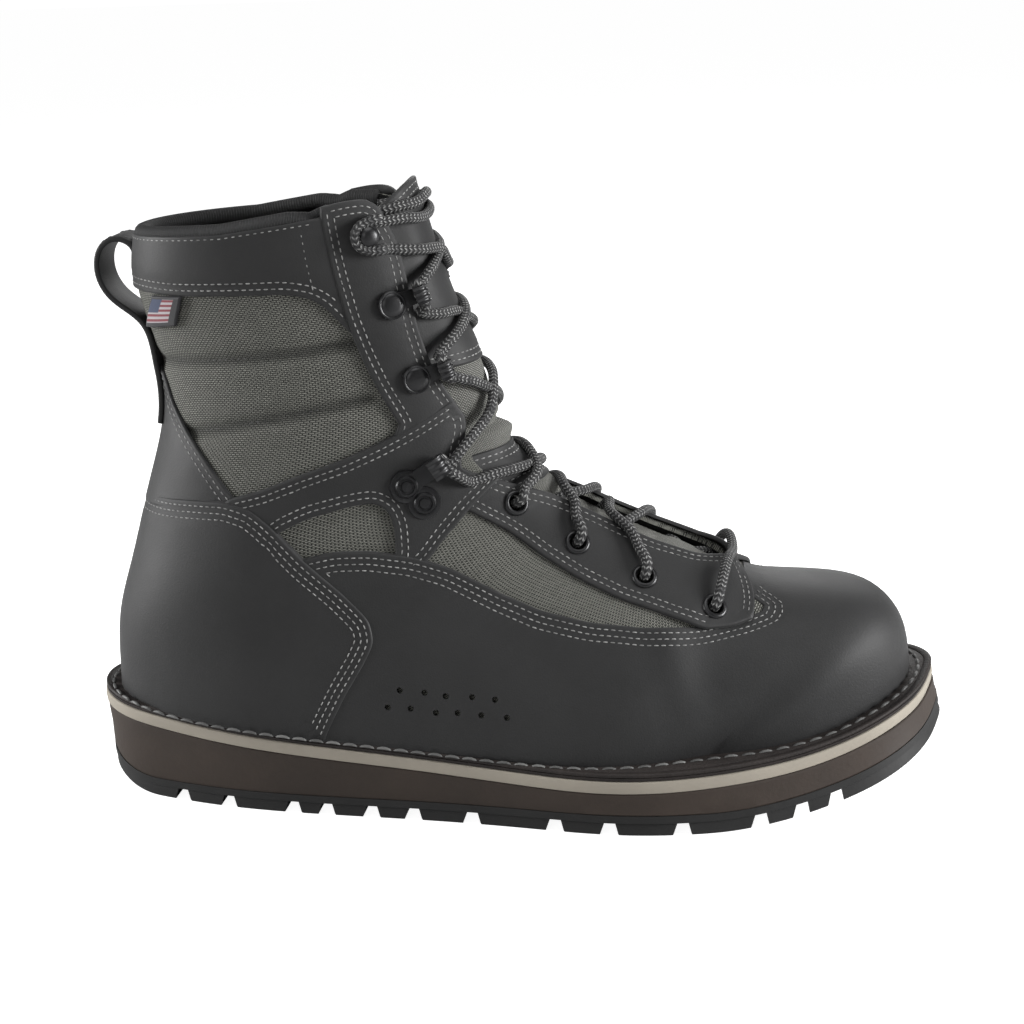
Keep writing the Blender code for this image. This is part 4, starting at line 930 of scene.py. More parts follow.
def build_sheet(name, sheet, inner, outer, look, sides="both", relief=None,
                roll=0.8, backing=None, shades=None):
    """Panel with rounded edges, sunk seams and soft relief over the wall."""
    places, faces = sheet.on_sides(sides)
    v, u = places.T
    distance = sheet.distance(places)
    lift = relief(v, u) if relief else 0.0
    out = outer - (outer - inner) * ROLL_SHARE * rolled(distance, roll)
    out = out - GROOVE_DEPTH * sheet.groove(places)
    top = wall_point(v, u, out + lift)
    under = wall_point(v, u, np.full(len(v), inner) + lift)
    count = len(places)
    edges = {(a, b) for face in faces for a, b in zip(face, face[1:] + face[:1])}
    rim = [(a, b) for a, b in edges if (b, a) not in edges]
    solid = list(faces) + [tuple(i + count for i in reversed(face)) for face in faces]
    solid += [(b, a, a + count, b + count) for a, b in rim]
    uv = np.stack([u * GIRTH, v * SPAN[0]], -1)
    shade = np.exp(-distance / RUB_REACH)
    piece = make_mesh(name, np.concatenate([top, under]), solid, look,
                      uv=np.concatenate([uv, uv]),
                      shades={"edge": np.concatenate([shade, np.ones(count)]),
                              **{key: np.tile(value(v, u), 2)
                                 for key, value in (shades or {}).items()}})
    if backing:
        piece.data.materials.append(backing)
        inside = np.zeros(len(piece.data.polygons), np.int32)
        inside[len(faces):2 * len(faces)] = 1
        piece.data.polygons.foreach_set("material_index", inside)
    return piece


# Points round a stitch, its radius along its length, how far its ends dive, its height as
# a share of its width, how deep it lies in the leather, and the radius of a seam's thread
# as a share of its named thickness
THREAD_RING = 6
THREAD_PROFILE = ((-0.5, 0.15), (-0.40, 0.75), (-0.15, 1.0), (0.15, 1.0), (0.40, 0.75),
                  (0.5, 0.15))
THREAD_DIVE = 0.9
THREAD_FLAT = 0.8
STITCH_SINK = 0.12
THREAD_RADIUS = 0.62


def thread_mesh(name, stitches, length, radius, look):
    """One mesh of short thread stitches: each is its middle, its way and its normal."""
    if not stitches:
        return None
    centres = np.array([s[0] for s in stitches])
    ways = unit(np.array([s[1] for s in stitches]))
    normals = unit(np.array([s[2] for s in stitches]))
    across = unit(np.cross(normals, ways))
    normals = np.cross(ways, across)
    points = []
    for along, girth in THREAD_PROFILE:
        for k in range(THREAD_RING):
            turn = 2 * math.pi * k / THREAD_RING
            dip = -THREAD_DIVE * radius * (abs(along) * 2) ** 3
            points.append(centres + ways * along * length
                          + across * math.cos(turn) * radius * girth
                          + normals * (math.sin(turn) * radius * girth * THREAD_FLAT + dip))
    points = np.stack(points, 1)
    count = len(THREAD_PROFILE) * THREAD_RING
    faces = [tuple(range(THREAD_RING)), tuple(range(count - THREAD_RING, count))]
    for ring in range(len(THREAD_PROFILE) - 1):
        a = ring * THREAD_RING
        faces += band(a, a + THREAD_RING, THREAD_RING)
    all_faces = [tuple(i + n * count for i in face) for n in range(len(centres))
                 for face in faces]
    tone = np.repeat(np.random.default_rng(len(centres)).uniform(0, 1, len(centres)), count)
    return make_mesh(name, points.reshape(-1, 3), all_faces, look,
                     shades={"tone": tone})


def stitches_on(line, out, pitch, relief=None, flip=False):
    """Even stitches along a line of places, lying at a height over the wall."""
    v, u = np.asarray(line).T
    if flip:
        u = 1 - u
    lift = relief(v, u) if relief else 0.0
    points = wall_point(v, u, np.full(len(v), float(out)) + lift)
    return stitches_along(points, last_normal(v, u), pitch)


def stitches_along(points, normals, pitch, closed=False):
    """Even stitches along a line of points with their normals."""
    if closed:
        points = np.concatenate([points, points[:1]])
        normals = np.concatenate([normals, normals[:1]])
    reach = lengths(points)
    count = int(reach[-1] / pitch)
    if count < 1:
        return []
    at = (np.arange(count) + 0.5) * reach[-1] / count
    read = [np.stack([np.interp(at + d, reach, points[:, k]) for k in range(3)], -1)
            for d in (-0.5, 0.0, 0.5)]
    up = np.stack([np.interp(at, reach, normals[:, k]) for k in range(3)], -1)
    return list(zip(read[1], read[2] - read[0], up))


def put(tree, made, inputs):
    """Set or link the inputs of a node."""
    for key, value in inputs.items():
        socket = made.inputs[key]
        if isinstance(value, bpy.types.NodeSocket):
            tree.links.new(value, socket)
        elif hasattr(socket.default_value, "__len__") and len(socket.default_value) == 4 \
                and len(value) == 3:
            socket.default_value = (*value, 1.0)
        else:
            socket.default_value = value


def node(tree, kind, inputs=None, **settings):
    """New shader node with its settings and its inputs set or linked."""
    made = tree.nodes.new(kind)
    for key, value in settings.items():
        setattr(made, key, value)
    put(tree, made, inputs or {})
    return made


def attribute(tree, name):
    """Value that the mesh carries under a name."""
    return node(tree, "ShaderNodeAttribute", attribute_name=name).outputs["Fac"]


def object_place(tree):
    """Place in the object's own metres."""
    return node(tree, "ShaderNodeTexCoord").outputs["Object"]


def noise(tree, where, scale, **inputs):
    """Value of a noise texture."""
    made = node(tree, "ShaderNodeTexNoise", {"Vector": where, "Scale": scale, **inputs})
    return made.outputs[0]


def maths(tree, operation, a, b=0.0, c=0.0, clamp=False):
    """Result of one Math node."""
    made = node(tree, "ShaderNodeMath", {0: a, 1: b, 2: c}, operation=operation,
                use_clamp=clamp)
    return made.outputs[0]


def blend(tree, share, a, b):
    """Colour between a and b."""
    made = node(tree, "ShaderNodeMix", {0: share, 6: a, 7: b}, data_type="RGBA")
    return made.outputs[2]


def ramp(tree, value, low, high):
    """Value stretched so that low gives 0 and high gives 1, clamped."""
    made = node(tree, "ShaderNodeMapRange", {0: value, 1: low, 2: high}, clamp=True)
    return made.outputs[0]


def group(name, inputs, outputs):
    """Node group with its tree, inputs and outputs, or the one that exists and three None."""
    found = bpy.data.node_groups.get(name)
    if found:
        return found, None, None, None
    tree = bpy.data.node_groups.new(name, "ShaderNodeTree")
    for label, kind, default in inputs:
        socket = tree.interface.new_socket(label, in_out="INPUT", socket_type=kind)
        if default is not None:
            socket.default_value = default
    for label, kind in outputs:
        tree.interface.new_socket(label, in_out="OUTPUT", socket_type=kind)
    enter = tree.nodes.new("NodeGroupInput")
    leave = tree.nodes.new("NodeGroupOutput")
    return tree, tree, enter.outputs, leave.inputs


def grain_group():
    """Fine nap and slow mottling of leather, rubber and foam."""
    inputs = [("Fine", "NodeSocketFloat", 1400.0), ("Coarse", "NodeSocketFloat", 28.0)]
    outputs = [("Height", "NodeSocketFloat"), ("Mottle", "NodeSocketFloat"),
               ("Scuff", "NodeSocketFloat")]
    made, tree, enter, leave = group("surface_grain", inputs, outputs)
    if tree is None:
        return made
    where = object_place(tree)
    fine = noise(tree, where, enter["Fine"], Detail=5.0, Roughness=0.65)
    cells = node(tree, "ShaderNodeTexVoronoi", {"Vector": where, "Scale": enter["Fine"]})
    slow = noise(tree, where, enter["Coarse"], Detail=4.0, Roughness=0.6)
    hair = noise(tree, where, 160.0, Detail=6.0, Roughness=0.75, Distortion=1.2)
    bumps = maths(tree, "MULTIPLY_ADD", cells.outputs["Distance"], 0.5, fine)
    tree.links.new(bumps, leave["Height"])
    tree.links.new(ramp(tree, slow, 0.32, 0.68), leave["Mottle"])
    tree.links.new(ramp(tree, hair, 0.60, 0.80), leave["Scuff"])
    return made


def weave_group():
    """Staggered yarn floats over the cloth: pale marks and their height."""
    inputs = [("Float length", "NodeSocketFloat", 1.25), ("Row height", "NodeSocketFloat", 0.78)]
    outputs = [("Pale", "NodeSocketFloat"), ("Height", "NodeSocketFloat"),
               ("Yarn tone", "NodeSocketFloat")]
    made, tree, enter, leave = group("yarn_weave", inputs, outputs)
    if tree is None:
        return made
    where = node(tree, "ShaderNodeUVMap", uv_map="cloth").outputs[0]
    bricks = node(tree, "ShaderNodeTexBrick", {
        "Vector": where, "Color1": (0.0, 0.0, 0.0), "Color2": (1.0, 1.0, 1.0),
        "Mortar": (0.5, 0.5, 0.5), "Scale": 1.0, "Mortar Size": 0.30, "Mortar Smooth": 1.0,
        "Bias": 0.0, "Brick Width": enter["Float length"], "Row Height": enter["Row height"]},
        offset=0.5, offset_frequency=2, squash=1.0)
    hump = maths(tree, "SUBTRACT", 1.0, bricks.outputs["Fac"])
    fibre = noise(tree, where, 5.5, Detail=3.0)
    tree.links.new(ramp(tree, hump, 0.12, 0.75), leave["Pale"])
    tree.links.new(maths(tree, "MULTIPLY_ADD", fibre, 0.25, hump), leave["Height"])
    tree.links.new(bricks.outputs["Color"], leave["Yarn tone"])
    return made


def edge_group():
    """Cut edges of leather: rubbed pale at the very edge."""
    inputs = [("Colour", "NodeSocketColor", (0.1, 0.1, 0.1, 1.0)),
              ("Rubbed", "NodeSocketColor", (0.1, 0.1, 0.1, 1.0)),
              ("Amount", "NodeSocketFloat", 0.5)]
    made, tree, enter, leave = group("edge_wear", inputs, [("Colour", "NodeSocketColor")])
    if tree is None:
        return made
    patches = noise(tree, object_place(tree), 240.0, Detail=4.0)
    worn = maths(tree, "MULTIPLY", ramp(tree, attribute(tree, "edge"), 0.35, 0.95),
                 ramp(tree, patches, 0.38, 0.62))
    share = maths(tree, "MULTIPLY", worn, enter["Amount"], clamp=True)
    tree.links.new(blend(tree, share, enter["Colour"], enter["Rubbed"]), leave["Colour"])
    return made


def shader(name):
    """New material with its node tree and its Principled BSDF."""
    made = bpy.data.materials.new(name)
    made.use_nodes = True
    return made, made.node_tree, made.node_tree.nodes["Principled BSDF"]


def bumped(tree, value, strength, depth):
    """Normal of the surface with a bump from a height value."""
    made = node(tree, "ShaderNodeBump", {"Height": value, "Strength": strength,
                                         "Distance": depth})
    return made.outputs[0]


def scaled(colour, factor):
    """Colour made lighter or darker."""
    return tuple(min(1.0, c * factor) for c in colour)


def grained(name, colour, pale, roughness, fine=1400.0, coarse=28.0, bump=0.35,
            depth=0.00015, rubbed=None, sheen=0.0, scuffs=0.35):
    """Leather, rubber or foam: mottled colour, fine bump and rubbed edges."""
    found = bpy.data.materials.get(name)
    if found:
        return found
    made, tree, bsdf = shader(name)
    grain = node(tree, "ShaderNodeGroup", {"Fine": fine, "Coarse": coarse},
                 node_tree=grain_group())
    tone = blend(tree, grain.outputs["Mottle"], colour, pale)
    marks = maths(tree, "MULTIPLY", grain.outputs["Scuff"], scuffs)
    tone = blend(tree, marks, tone, scaled(pale, 1.5))
    if rubbed:
        edge = node(tree, "ShaderNodeGroup", {"Colour": tone, "Rubbed": rubbed, "Amount": 0.6},
                    node_tree=edge_group())
        tone = edge.outputs[0]
    rough = maths(tree, "MULTIPLY_ADD", grain.outputs["Mottle"], 0.10, roughness - 0.05)
    put(tree, bsdf, {"Base Color": tone, "Roughness": rough, "Specular IOR Level": 0.25,
                     "Sheen Weight": sheen, "Sheen Roughness": 0.4,
                     "Normal": bumped(tree, grain.outputs["Height"], bump, depth)})
    return made


def leather_look():
    """Charcoal nubuck."""
    colours = bpy.context.scene.boot_colours
    base = tuple(colours.leather)
    return grained("charcoal_nubuck", scaled(base, 0.88), scaled(base, 1.15), 0.58,
                   rubbed=scaled(base, 1.9), sheen=0.06)


def cloth_look(name="woven_cloth", pale=None, deep=None, length=None):
    """Basket weave of pale floats on dark yarn, with painted shade in the sewn channels."""
    found = bpy.data.materials.get(name)
    if found:
        return found
    colours = bpy.context.scene.boot_colours
    pale = pale or tuple(colours.cloth)
    deep = deep or tuple(colours.cloth_deep)
    length = length or bpy.context.scene.boot_sizes.weave / MM
    made, tree, bsdf = shader(name)
    weave = node(tree, "ShaderNodeGroup", {"Float length": length, "Row height": length * 0.62},
                 node_tree=weave_group())
    tint = blend(tree, weave.outputs["Yarn tone"], scaled(pale, 0.85), scaled(pale, 1.1))
    tone = blend(tree, weave.outputs["Pale"], deep, tint)
    # Painted shade: the cloth turns to its dark yarn where the sewn channels sink in.
    channel_shade = ramp(tree, attribute(tree, "channel_shade_mask"), 0.25, 1.3)
    tone = blend(tree, channel_shade, tone, scaled(deep, 0.9))
    put(tree, bsdf, {"Base Color": tone, "Roughness": 0.75, "Specular IOR Level": 0.3,
                     "Normal": bumped(tree, weave.outputs["Height"], 0.6, 0.00035)})
    return made


# How dark the thread of the channels and the loop is, as a share of the seams' colour
DARK_THREAD = 0.25


def thread_look(name="seam_thread", factor=1.0):
    """Twisted polyester thread, each stitch a little lighter or darker."""
    found = bpy.data.materials.get(name)
    if found:
        return found
    colour = scaled(tuple(bpy.context.scene.boot_colours.thread), factor)
    made, tree, bsdf = shader(name)
    tone = blend(tree, attribute(tree, "tone"), scaled(colour, 0.6), scaled(colour, 1.25))
    twist = noise(tree, object_place(tree), 3200.0, Detail=2.0)
    put(tree, bsdf, {"Base Color": tone, "Roughness": 0.55,
                     "Normal": bumped(tree, twist, 0.4, 0.0002)})
    return made


def metal_look():
    """Black lacquered metal, worn bright in specks."""
    found = bpy.data.materials.get("black_lacquered_metal")
    if found:
        return found
    made, tree, bsdf = shader("black_lacquered_metal")
    grain = node(tree, "ShaderNodeGroup", {"Fine": 900.0, "Coarse": 220.0},
                 node_tree=grain_group())
    tone = blend(tree, grain.outputs["Scuff"], (0.012, 0.012, 0.013), (0.05, 0.05, 0.052))
    rough = maths(tree, "MULTIPLY_ADD", grain.outputs["Mottle"], 0.12, 0.30)
    put(tree, bsdf, {"Base Color": tone, "Metallic": 0.55, "Roughness": rough,
                     "Coat Weight": 0.25, "Coat Roughness": 0.3,
                     "Normal": bumped(tree, grain.outputs["Height"], 0.08, 0.0001)})
    return made


# Strands that show round the lace
BRAID_STRANDS = 10.0


def lace_look():
    """Round braid: dark ground with pale flecks in a herringbone, painted darker in the braid's
    valleys as shade and lighter on its crests.
    """
    found = bpy.data.materials.get("braided_lace")
    if found:
        return found
    ground = tuple(bpy.context.scene.boot_colours.lace)
    made, tree, bsdf = shader("braided_lace")
    where = node(tree, "ShaderNodeUVMap", uv_map="cloth").outputs[0]
    split = node(tree, "ShaderNodeSeparateXYZ", {"Vector": where})
    turn, along = split.outputs[0], split.outputs[1]
    zigzag = maths(tree, "PINGPONG", maths(tree, "MULTIPLY", turn, BRAID_STRANDS), 1.0)
    slant = maths(tree, "MULTIPLY_ADD", zigzag, 0.55, maths(tree, "MULTIPLY", along, 0.62))
    wave = maths(tree, "SINE", maths(tree, "MULTIPLY", slant, 2 * math.pi))
    strand = maths(tree, "SINE", maths(tree, "MULTIPLY", turn, BRAID_STRANDS * math.pi))
    strand = maths(tree, "ABSOLUTE", strand)
    hump = maths(tree, "MULTIPLY", ramp(tree, wave, -0.9, 0.8), ramp(tree, strand, 0.0, 0.5))
    yarn = noise(tree, where, 0.8)
    fleck = maths(tree, "MULTIPLY", ramp(tree, wave, 0.3, 0.8), ramp(tree, strand, 0.25, 0.75))
    fleck = maths(tree, "MULTIPLY", fleck, ramp(tree, yarn, 0.30, 0.55))
    # Painted shade and light: the ground is darkest in the valleys between strands and lighter on
    # the braid's crests.
    tone = blend(tree, hump, scaled(ground, 0.45), scaled(ground, 1.3))
    tone = blend(tree, fleck, tone, (0.23, 0.23, 0.225))
    put(tree, bsdf, {"Base Color": tone, "Roughness": 0.7, "Specular IOR Level": 0.3,
                     "Normal": bumped(tree, hump, 0.7, 0.0005)})
    return made


def label_look():
    """Woven side label: a dark blue field beside red and pale stripes."""
    found = bpy.data.materials.get("striped_label")
    if found:
        return found
    made, tree, bsdf = shader("striped_label")
    along = attribute(tree, "along")
    down = attribute(tree, "down")
    bars = maths(tree, "SINE", maths(tree, "MULTIPLY", down, 12 * math.pi))
    stripes = blend(tree, ramp(tree, bars, -0.25, 0.25), (0.15, 0.020, 0.03), (0.32, 0.30, 0.31))
    low = ramp(tree, down, 0.52, 0.54)
    field = maths(tree, "MAXIMUM", ramp(tree, along, 0.40, 0.43), low)
    tone = blend(tree, field, (0.022, 0.034, 0.075), stripes)
    frame_x = maths(tree, "ABSOLUTE", maths(tree, "SUBTRACT", along, 0.43))
    frame_y = maths(tree, "ABSOLUTE", maths(tree, "SUBTRACT", down, 0.47))
    rim = maths(tree, "MAXIMUM", ramp(tree, frame_x, 0.36, 0.38), ramp(tree, frame_y, 0.39, 0.41))
    tone = blend(tree, rim, tone, (0.012, 0.012, 0.014))
    weave = node(tree, "ShaderNodeGroup", {"Float length": 0.6, "Row height": 0.4},
                 node_tree=weave_group())
    tone = blend(tree, maths(tree, "MULTIPLY", weave.outputs["Pale"], 0.35), tone,
                 (0.02, 0.02, 0.025))
    put(tree, bsdf, {"Base Color": tone, "Roughness": 0.7,
                     "Normal": bumped(tree, weave.outputs["Height"], 0.4, 0.0002)})
    return made


def line_relief(lines, depth, width):
    """Relief that sinks along side-view lines, for sewn channels and creases."""
    tree = tree_of(lines, 1.5)

    def relief(v, u):
        half = np.where(u > 0.5, 1 - u, u)
        near = np.array([tree.find(p)[2] for p in last_point(v, half)])
        return -depth * np.exp(-(near / width) ** 2)

    return relief


def crease_relief(creases):
    """Relief of listed soft troughs and ridges.

    Each crease has its middle, its way, its length and half width, and its height.
    """
    def relief(v, u):
        half = np.where(u > 0.5, 1 - u, u)
        points = last_point(v, half)
        total = np.zeros(len(points))
        for x, z, slope, length, width, tall in creases:
            dx = points[:, 0] - x
            dz = points[:, 2] - z
            along = dx * math.cos(slope) + dz * math.sin(slope)
            aside = dz * math.cos(slope) - dx * math.sin(slope)
            total += tall * np.exp(-(along / length) ** 2 - (aside / width) ** 2)
        return total

    return relief


# Distance of the outermost row of stitches from a panel's edge
FIRST_ROW = 2.2


def seam_rows(count):
    """Distances of parallel seam rows from a panel's edge."""
    gap = bpy.context.scene.boot_sizes.row_gap / MM
    return tuple(FIRST_ROW + gap * k for k in range(count))


def add_seams(name, sheet, rows, outer, sides, keep=None, relief=None, extra=()):
    """Rows of stitches along a panel's edge, less those that keep leaves out."""
    sizes = bpy.context.scene.boot_sizes
    pitch = (sizes.stitch + sizes.stitch_gap) / MM
    stitches = []
    flips = {"lateral": (False,), "medial": (True,), "both": (False, True)}[sides]
    lines = [line for row in rows for line in sheet.seams[row]]
    for line in lines + list(extra):
        for flip in flips:
            stitches += stitches_on(line, outer - STITCH_SINK, pitch, relief, flip)
    if keep:
        stitches = [s for s in stitches if keep(s[0])]
    return thread_mesh(name, stitches, sizes.stitch / MM, sizes.thread / MM * THREAD_RADIUS,
                       thread_look())


def panel_outlines():
    """Side-view outline of each panel, in millimetres."""
    behind = 0.0
    ahead = 1.03
    upper = ((behind, 2.955),) + COLLAR_LINE + THROAT_LINE[:19] + ((.753, 1.12), (.757, 1.2))
    upper = upper + ((.80, 1.2), (ahead, 1.0))
    counter = side_view(COUNTER_TOP + COUNTER_FRONT[1:]) + welt_run(SEAM_FOOT, behind)
    vamp = side_view(((.275, .396), (.285, .48), (.300, .61), (.320, .76), (.330, .86))
                     + ((.325, .96), (.292, 1.19), (.256, 1.46), (.235, 1.60)) + VAMP_TOP
                     + ((.81, 1.2), (ahead, 1.0))) + welt_run(ahead, .275, 120)
    backstay = ((behind, 2.46),) + BACKSTAY_FRONT + ((.205, 1.86), (.140, 1.84)) + (
        (.03, 1.82), (behind, 1.82))
    cuff = ((behind, 2.985), (.03, 2.975), (.20, 3.003), (.302, 3.052), (.316, 3.06)) + (
        (.333, 2.85), (.337, 2.63)) + tuple(reversed(CUFF_LINE)) + ((behind, 2.79),)
    strap = STRAP_TOP + STRAP_THROAT + STRAP_FRONT + ((.380, 1.30), (.360, 1.40)) + tuple(
        reversed(WINDOW_EDGE)) + ((.235, 1.62), (.205, 1.80), (.180, 1.90))
    eye_upper = EYESTAY_BACK + ((.376, 2.20), (.425, 2.24)) + tuple(
        reversed(THROAT_LINE[:8])) + EYESTAY_TOP
    eye_lower = ((.452, 2.04), (.448, 1.86)) + LOWER_FRONT[2:] + EYESTAY_FRONT + tuple(
        reversed(THROAT_LINE[10:20]))
    return {
        "upper": side_view(upper) + welt_run(ahead, behind, 160),
        "counter": counter + side_view(((behind, 1.90),)),
        "vamp": vamp,
        "backstay": side_view(backstay),
        "cuff": side_view(cuff),
        "strap": side_view(strap),
        "eye_upper": side_view(eye_upper),
        "eye_lower": side_view(eye_lower),
        "label": side_view(LABEL_CORNERS),
    }


OUTLINES = panel_outlines()


def eyelet_holes(radius):
    """Holes of the lower eyestay's eyelets, as rings of places."""
    return [circle_places(*find(*place), radius) for place in EYELETS]


# Sewn channels of the wall, and the radii of the holes in the wall, the eyestay and the vamp
CHANNEL_DEPTH = 1.8
CHANNEL_WIDTH = 2.6
CHANNEL_PITCH = 2.4
CHANNEL_THREAD = 0.3
WALL_HOLE = 2.9
EYESTAY_HOLE = 2.8
DRAIN_HOLE = 1.15

# The throat's edge: how high its inner flap stands off, the rows where that begins and ends,
# how wide the lifted part is, and how far and where the eyestay's foot rises over the vamp
FLAP_RISE = 2.0
FLAP_ROWS = (0.36, 0.48, 0.746, 0.768)
FLAP_REACH = 15.0
FLAP_TUCK = 1.1
TUCK_ROW = 0.715
TUCK_RUN = 0.03


class BOOT_OT_upper(Operator):
    """Woven wall of the upper with its dark lining and sewn channels"""

    bl_idname = "boot.upper"
    bl_label = "Woven upper"

    def execute(self, context):
        ring = half_outline(OUTLINES["upper"], 0.0)
        sheet = Sheet(ring, holes=eyelet_holes(WALL_HOLE))
        channels = line_relief(QUILT_LINES, CHANNEL_DEPTH, CHANNEL_WIDTH)
        lining = cloth_look("dark_lining", (0.035, 0.035, 0.036), (0.012, 0.012, 0.012), 1.0)

        def relief(v, u):
            return channels(v, u) + flap_lift(v, u) - tuck_lift(v)

        # The channels' depth goes to the cloth as the mask for their painted shade.
        wall = build_sheet("upper_wall", sheet, -WALL, 0.0, cloth_look(), relief=relief,
                           backing=lining,
                           shades={"channel_shade_mask": lambda v, u: -channels(v, u) / CHANNEL_DEPTH})
        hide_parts("upper")
        stitches = []
        sizes = context.scene.boot_sizes
        for line in QUILT_LINES:
            places = wall_line(line)
            for flip in (False, True):
                stitches += stitches_on(places, 0.0, CHANNEL_PITCH, channels, flip)
        thread_mesh("channel_seams", stitches, sizes.stitch / MM, CHANNEL_THREAD,
                    thread_look("dark_thread", DARK_THREAD))
        return {"FINISHED"}


# How much thinner the big leathers are at heel and toe than their solids in the frame,
# from where on, and over which length
SKIVED = 1.6
SKIVED_TOE = (185.0, 45.0)
SKIVED_HEEL = (62.0, 35.0)


class BOOT_OT_panels(Operator):
    """Leather overlays with rounded cut edges and their rows of stitches"""

    bl_idname = "boot.panels"
    bl_label = "Leather panels"

    def execute(self, context):
        leather = leather_look()
        creases = crease_relief(VAMP_CREASES)
        cuff_seam = wall_line(CUFF_SEAM)

        def toe_relief(v, u):
            start, run = SKIVED_TOE
            return creases(v, u) - SKIVED * np.clip((last_point(v, u)[..., 0] - start) / run, 0, 1)

        def heel_relief(v, u):
            start, run = SKIVED_HEEL
            return -SKIVED * np.clip((start - last_point(v, u)[..., 0]) / run, 0, 1)

        plan = (
            ("backstay", "backstay", BACKSTAY, "both", 2, (BACKSTAY_FRONT,), (), None, ()),
            ("collar_cuff", "cuff", CUFF, "both", 2, (CUFF_LINE,), (), None, (cuff_seam,)),
            ("eyestay_lower", "eye_lower", EYESTAY_LOWER, "each", 2,
             (LOWER_FRONT, EYESTAY_FRONT[2:], THROAT_LINE[10:20]), eyelet_holes(EYESTAY_HOLE),
             flap_lift, ()),
            ("eyestay_upper", "eye_upper", EYESTAY_UPPER, "each", 2,
             (EYESTAY_BACK, EYESTAY_TOP, THROAT_LINE[:8]), (), None, ()),
            ("ankle_strap", "strap", STRAP, "each", 2,
             (STRAP_TOP, STRAP_THROAT, STRAP_FRONT, WINDOW_EDGE), (), None, ()),
            ("vamp", "vamp", VAMP, "both", 3, (VAMP_TOP[1:-3],), drain_holes(), toe_relief, ()),
            ("heel_counter", "counter", COUNTER, "both", 3, (COUNTER_TOP, COUNTER_FRONT), (),
             heel_relief, ()),
        )
        for name, key, outer, sides, count, sewn, holes, relief, extra in plan:
            rows = seam_rows(count)
            sheet = Sheet(half_outline(rounded(OUTLINES[key]), 0.4), rows, holes, sewn=sewn)
            each = ("lateral", "medial") if sides == "each" else ("both",)
            for side in each:
                tail = "" if side == "both" else "_" + side
                piece = build_sheet(name + "_leather" + tail, sheet, 0.05, outer, leather,
                                    sides=side, relief=relief)
                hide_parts(name + tail)
                add_seams(name + "_seams" + tail, sheet, rows, outer, side, off_the_welt, relief,
                          extra)
        add_seams("collar_cuff_top_seam", None, (), CUFF + 0.07, "both",
                  extra=(wall_line(CUFF_TOP_SEAM),))
        return {"FINISHED"}


def off_the_welt(point):
    """Whether a stitch lies clear of the seam between upper and welt."""
    return point[2] > float(feather(point[0])) + 2.0


# Soft creases of the vamp: x, z, slope, length, half width, height
VAMP_CREASES = (
    (205.0, 58.0, 1.9, 26.0, 5.0, -0.55), (214.0, 56.0, 1.85, 26.0, 4.5, 0.45),
    (224.0, 54.0, 1.8, 22.0, 5.0, -0.35), (236.0, 71.0, 0.1, 16.0, 4.0, -0.3),
)


def tuck_lift(v):
    """How far the lower eyestay rises at its foot to lie on the vamp's edge."""
    return FLAP_TUCK * np.clip((np.asarray(v, float) - TUCK_ROW) / TUCK_RUN, 0, 1)


def flap_lift(v, u):
    """How far the inner flap of the lacing stands off the foot at its throat edge."""
    inward = (np.asarray(u, float) - 0.5) * GIRTH - opening(v) * GIRTH
    reach = np.clip(1 - inward / FLAP_REACH, 0, 1)
    start, begun, ending, end = FLAP_ROWS
    row = np.asarray(v, float)
    along = np.clip((row - start) / (begun - start), 0, 1)
    along = along * np.clip((end - row) / (end - ending), 0, 1)
    rise = FLAP_RISE * reach * reach * (3 - 2 * reach) * along * (3 - 2 * along) * along
    return np.where(np.asarray(u) > 0.5, rise, 0.0) + tuck_lift(v)


def drain_holes():
    """Rows of small drain holes low on the side of the vamp."""
    return [circle_places(*find(*place), DRAIN_HOLE, 10) for place in DRAINS]


def throat_table():
    """Places of the throat's outer edge, by row."""
    places = np.array([look_up(x, z)[::2] for x, z in densify(side_view(THROAT_LINE), 2.0, False)])
    return places[np.argsort(places[:, 0])]


THROAT = throat_table()


def opening(v):
    """Half of the throat's width at a row, as a share of the ring."""
    return 0.5 - np.interp(np.clip(v, 0.01, 0.76), THROAT[:, 0], THROAT[:, 1])


# The tongue: thickness of pad and leather, then rows of its top, end, seam, the drop of its
# upper corners and its lower tab; its folds are row, height and width along the rows
TONGUE_PAD = 3.2
TONGUE_HIDE = 1.2
TONGUE_TOP = -0.009
TONGUE_END = 0.76
TONGUE_SEAM = 0.172
TONGUE_DROP = 0.032
TONGUE_TAB = (0.274, 0.36)
TONGUE_FOLDS = ((0.205, 0.8, 0.020), (0.225, 1.8, 0.009), (0.2385, -1.6, 0.0045),
                (0.256, 3.6, 0.012), (0.285, -0.8, 0.012))


def tongue_rise(v, u):
    """Height of the tongue's outside over the wall: crowned, and sunk at its edges."""
    share = np.abs(u - 0.5) / opening(v)
    blend_in = np.clip((share - 0.55) / 0.40, 0, 1)
    blend_in = blend_in * blend_in * (3 - 2 * blend_in)
    blend_in = np.maximum(blend_in, np.clip((v - 0.64) / 0.035, 0, 1))
    deep = WALL + GAP + 1.7 * np.clip(1 - v / 0.10, 0, 1)
    dip = np.clip((v - 0.37) / 0.06, 0, 1) * np.clip((0.77 - v) / 0.04, 0, 1)
    rise = -1.7 * (1 - blend_in) - deep * blend_in - 3.0 * dip * (1 - blend_in)
    for row, tall, width in TONGUE_FOLDS:
        rise = rise + tall * np.exp(-((v - row) / width) ** 2) * np.clip(1.1 - share, 0, 1)
    return rise


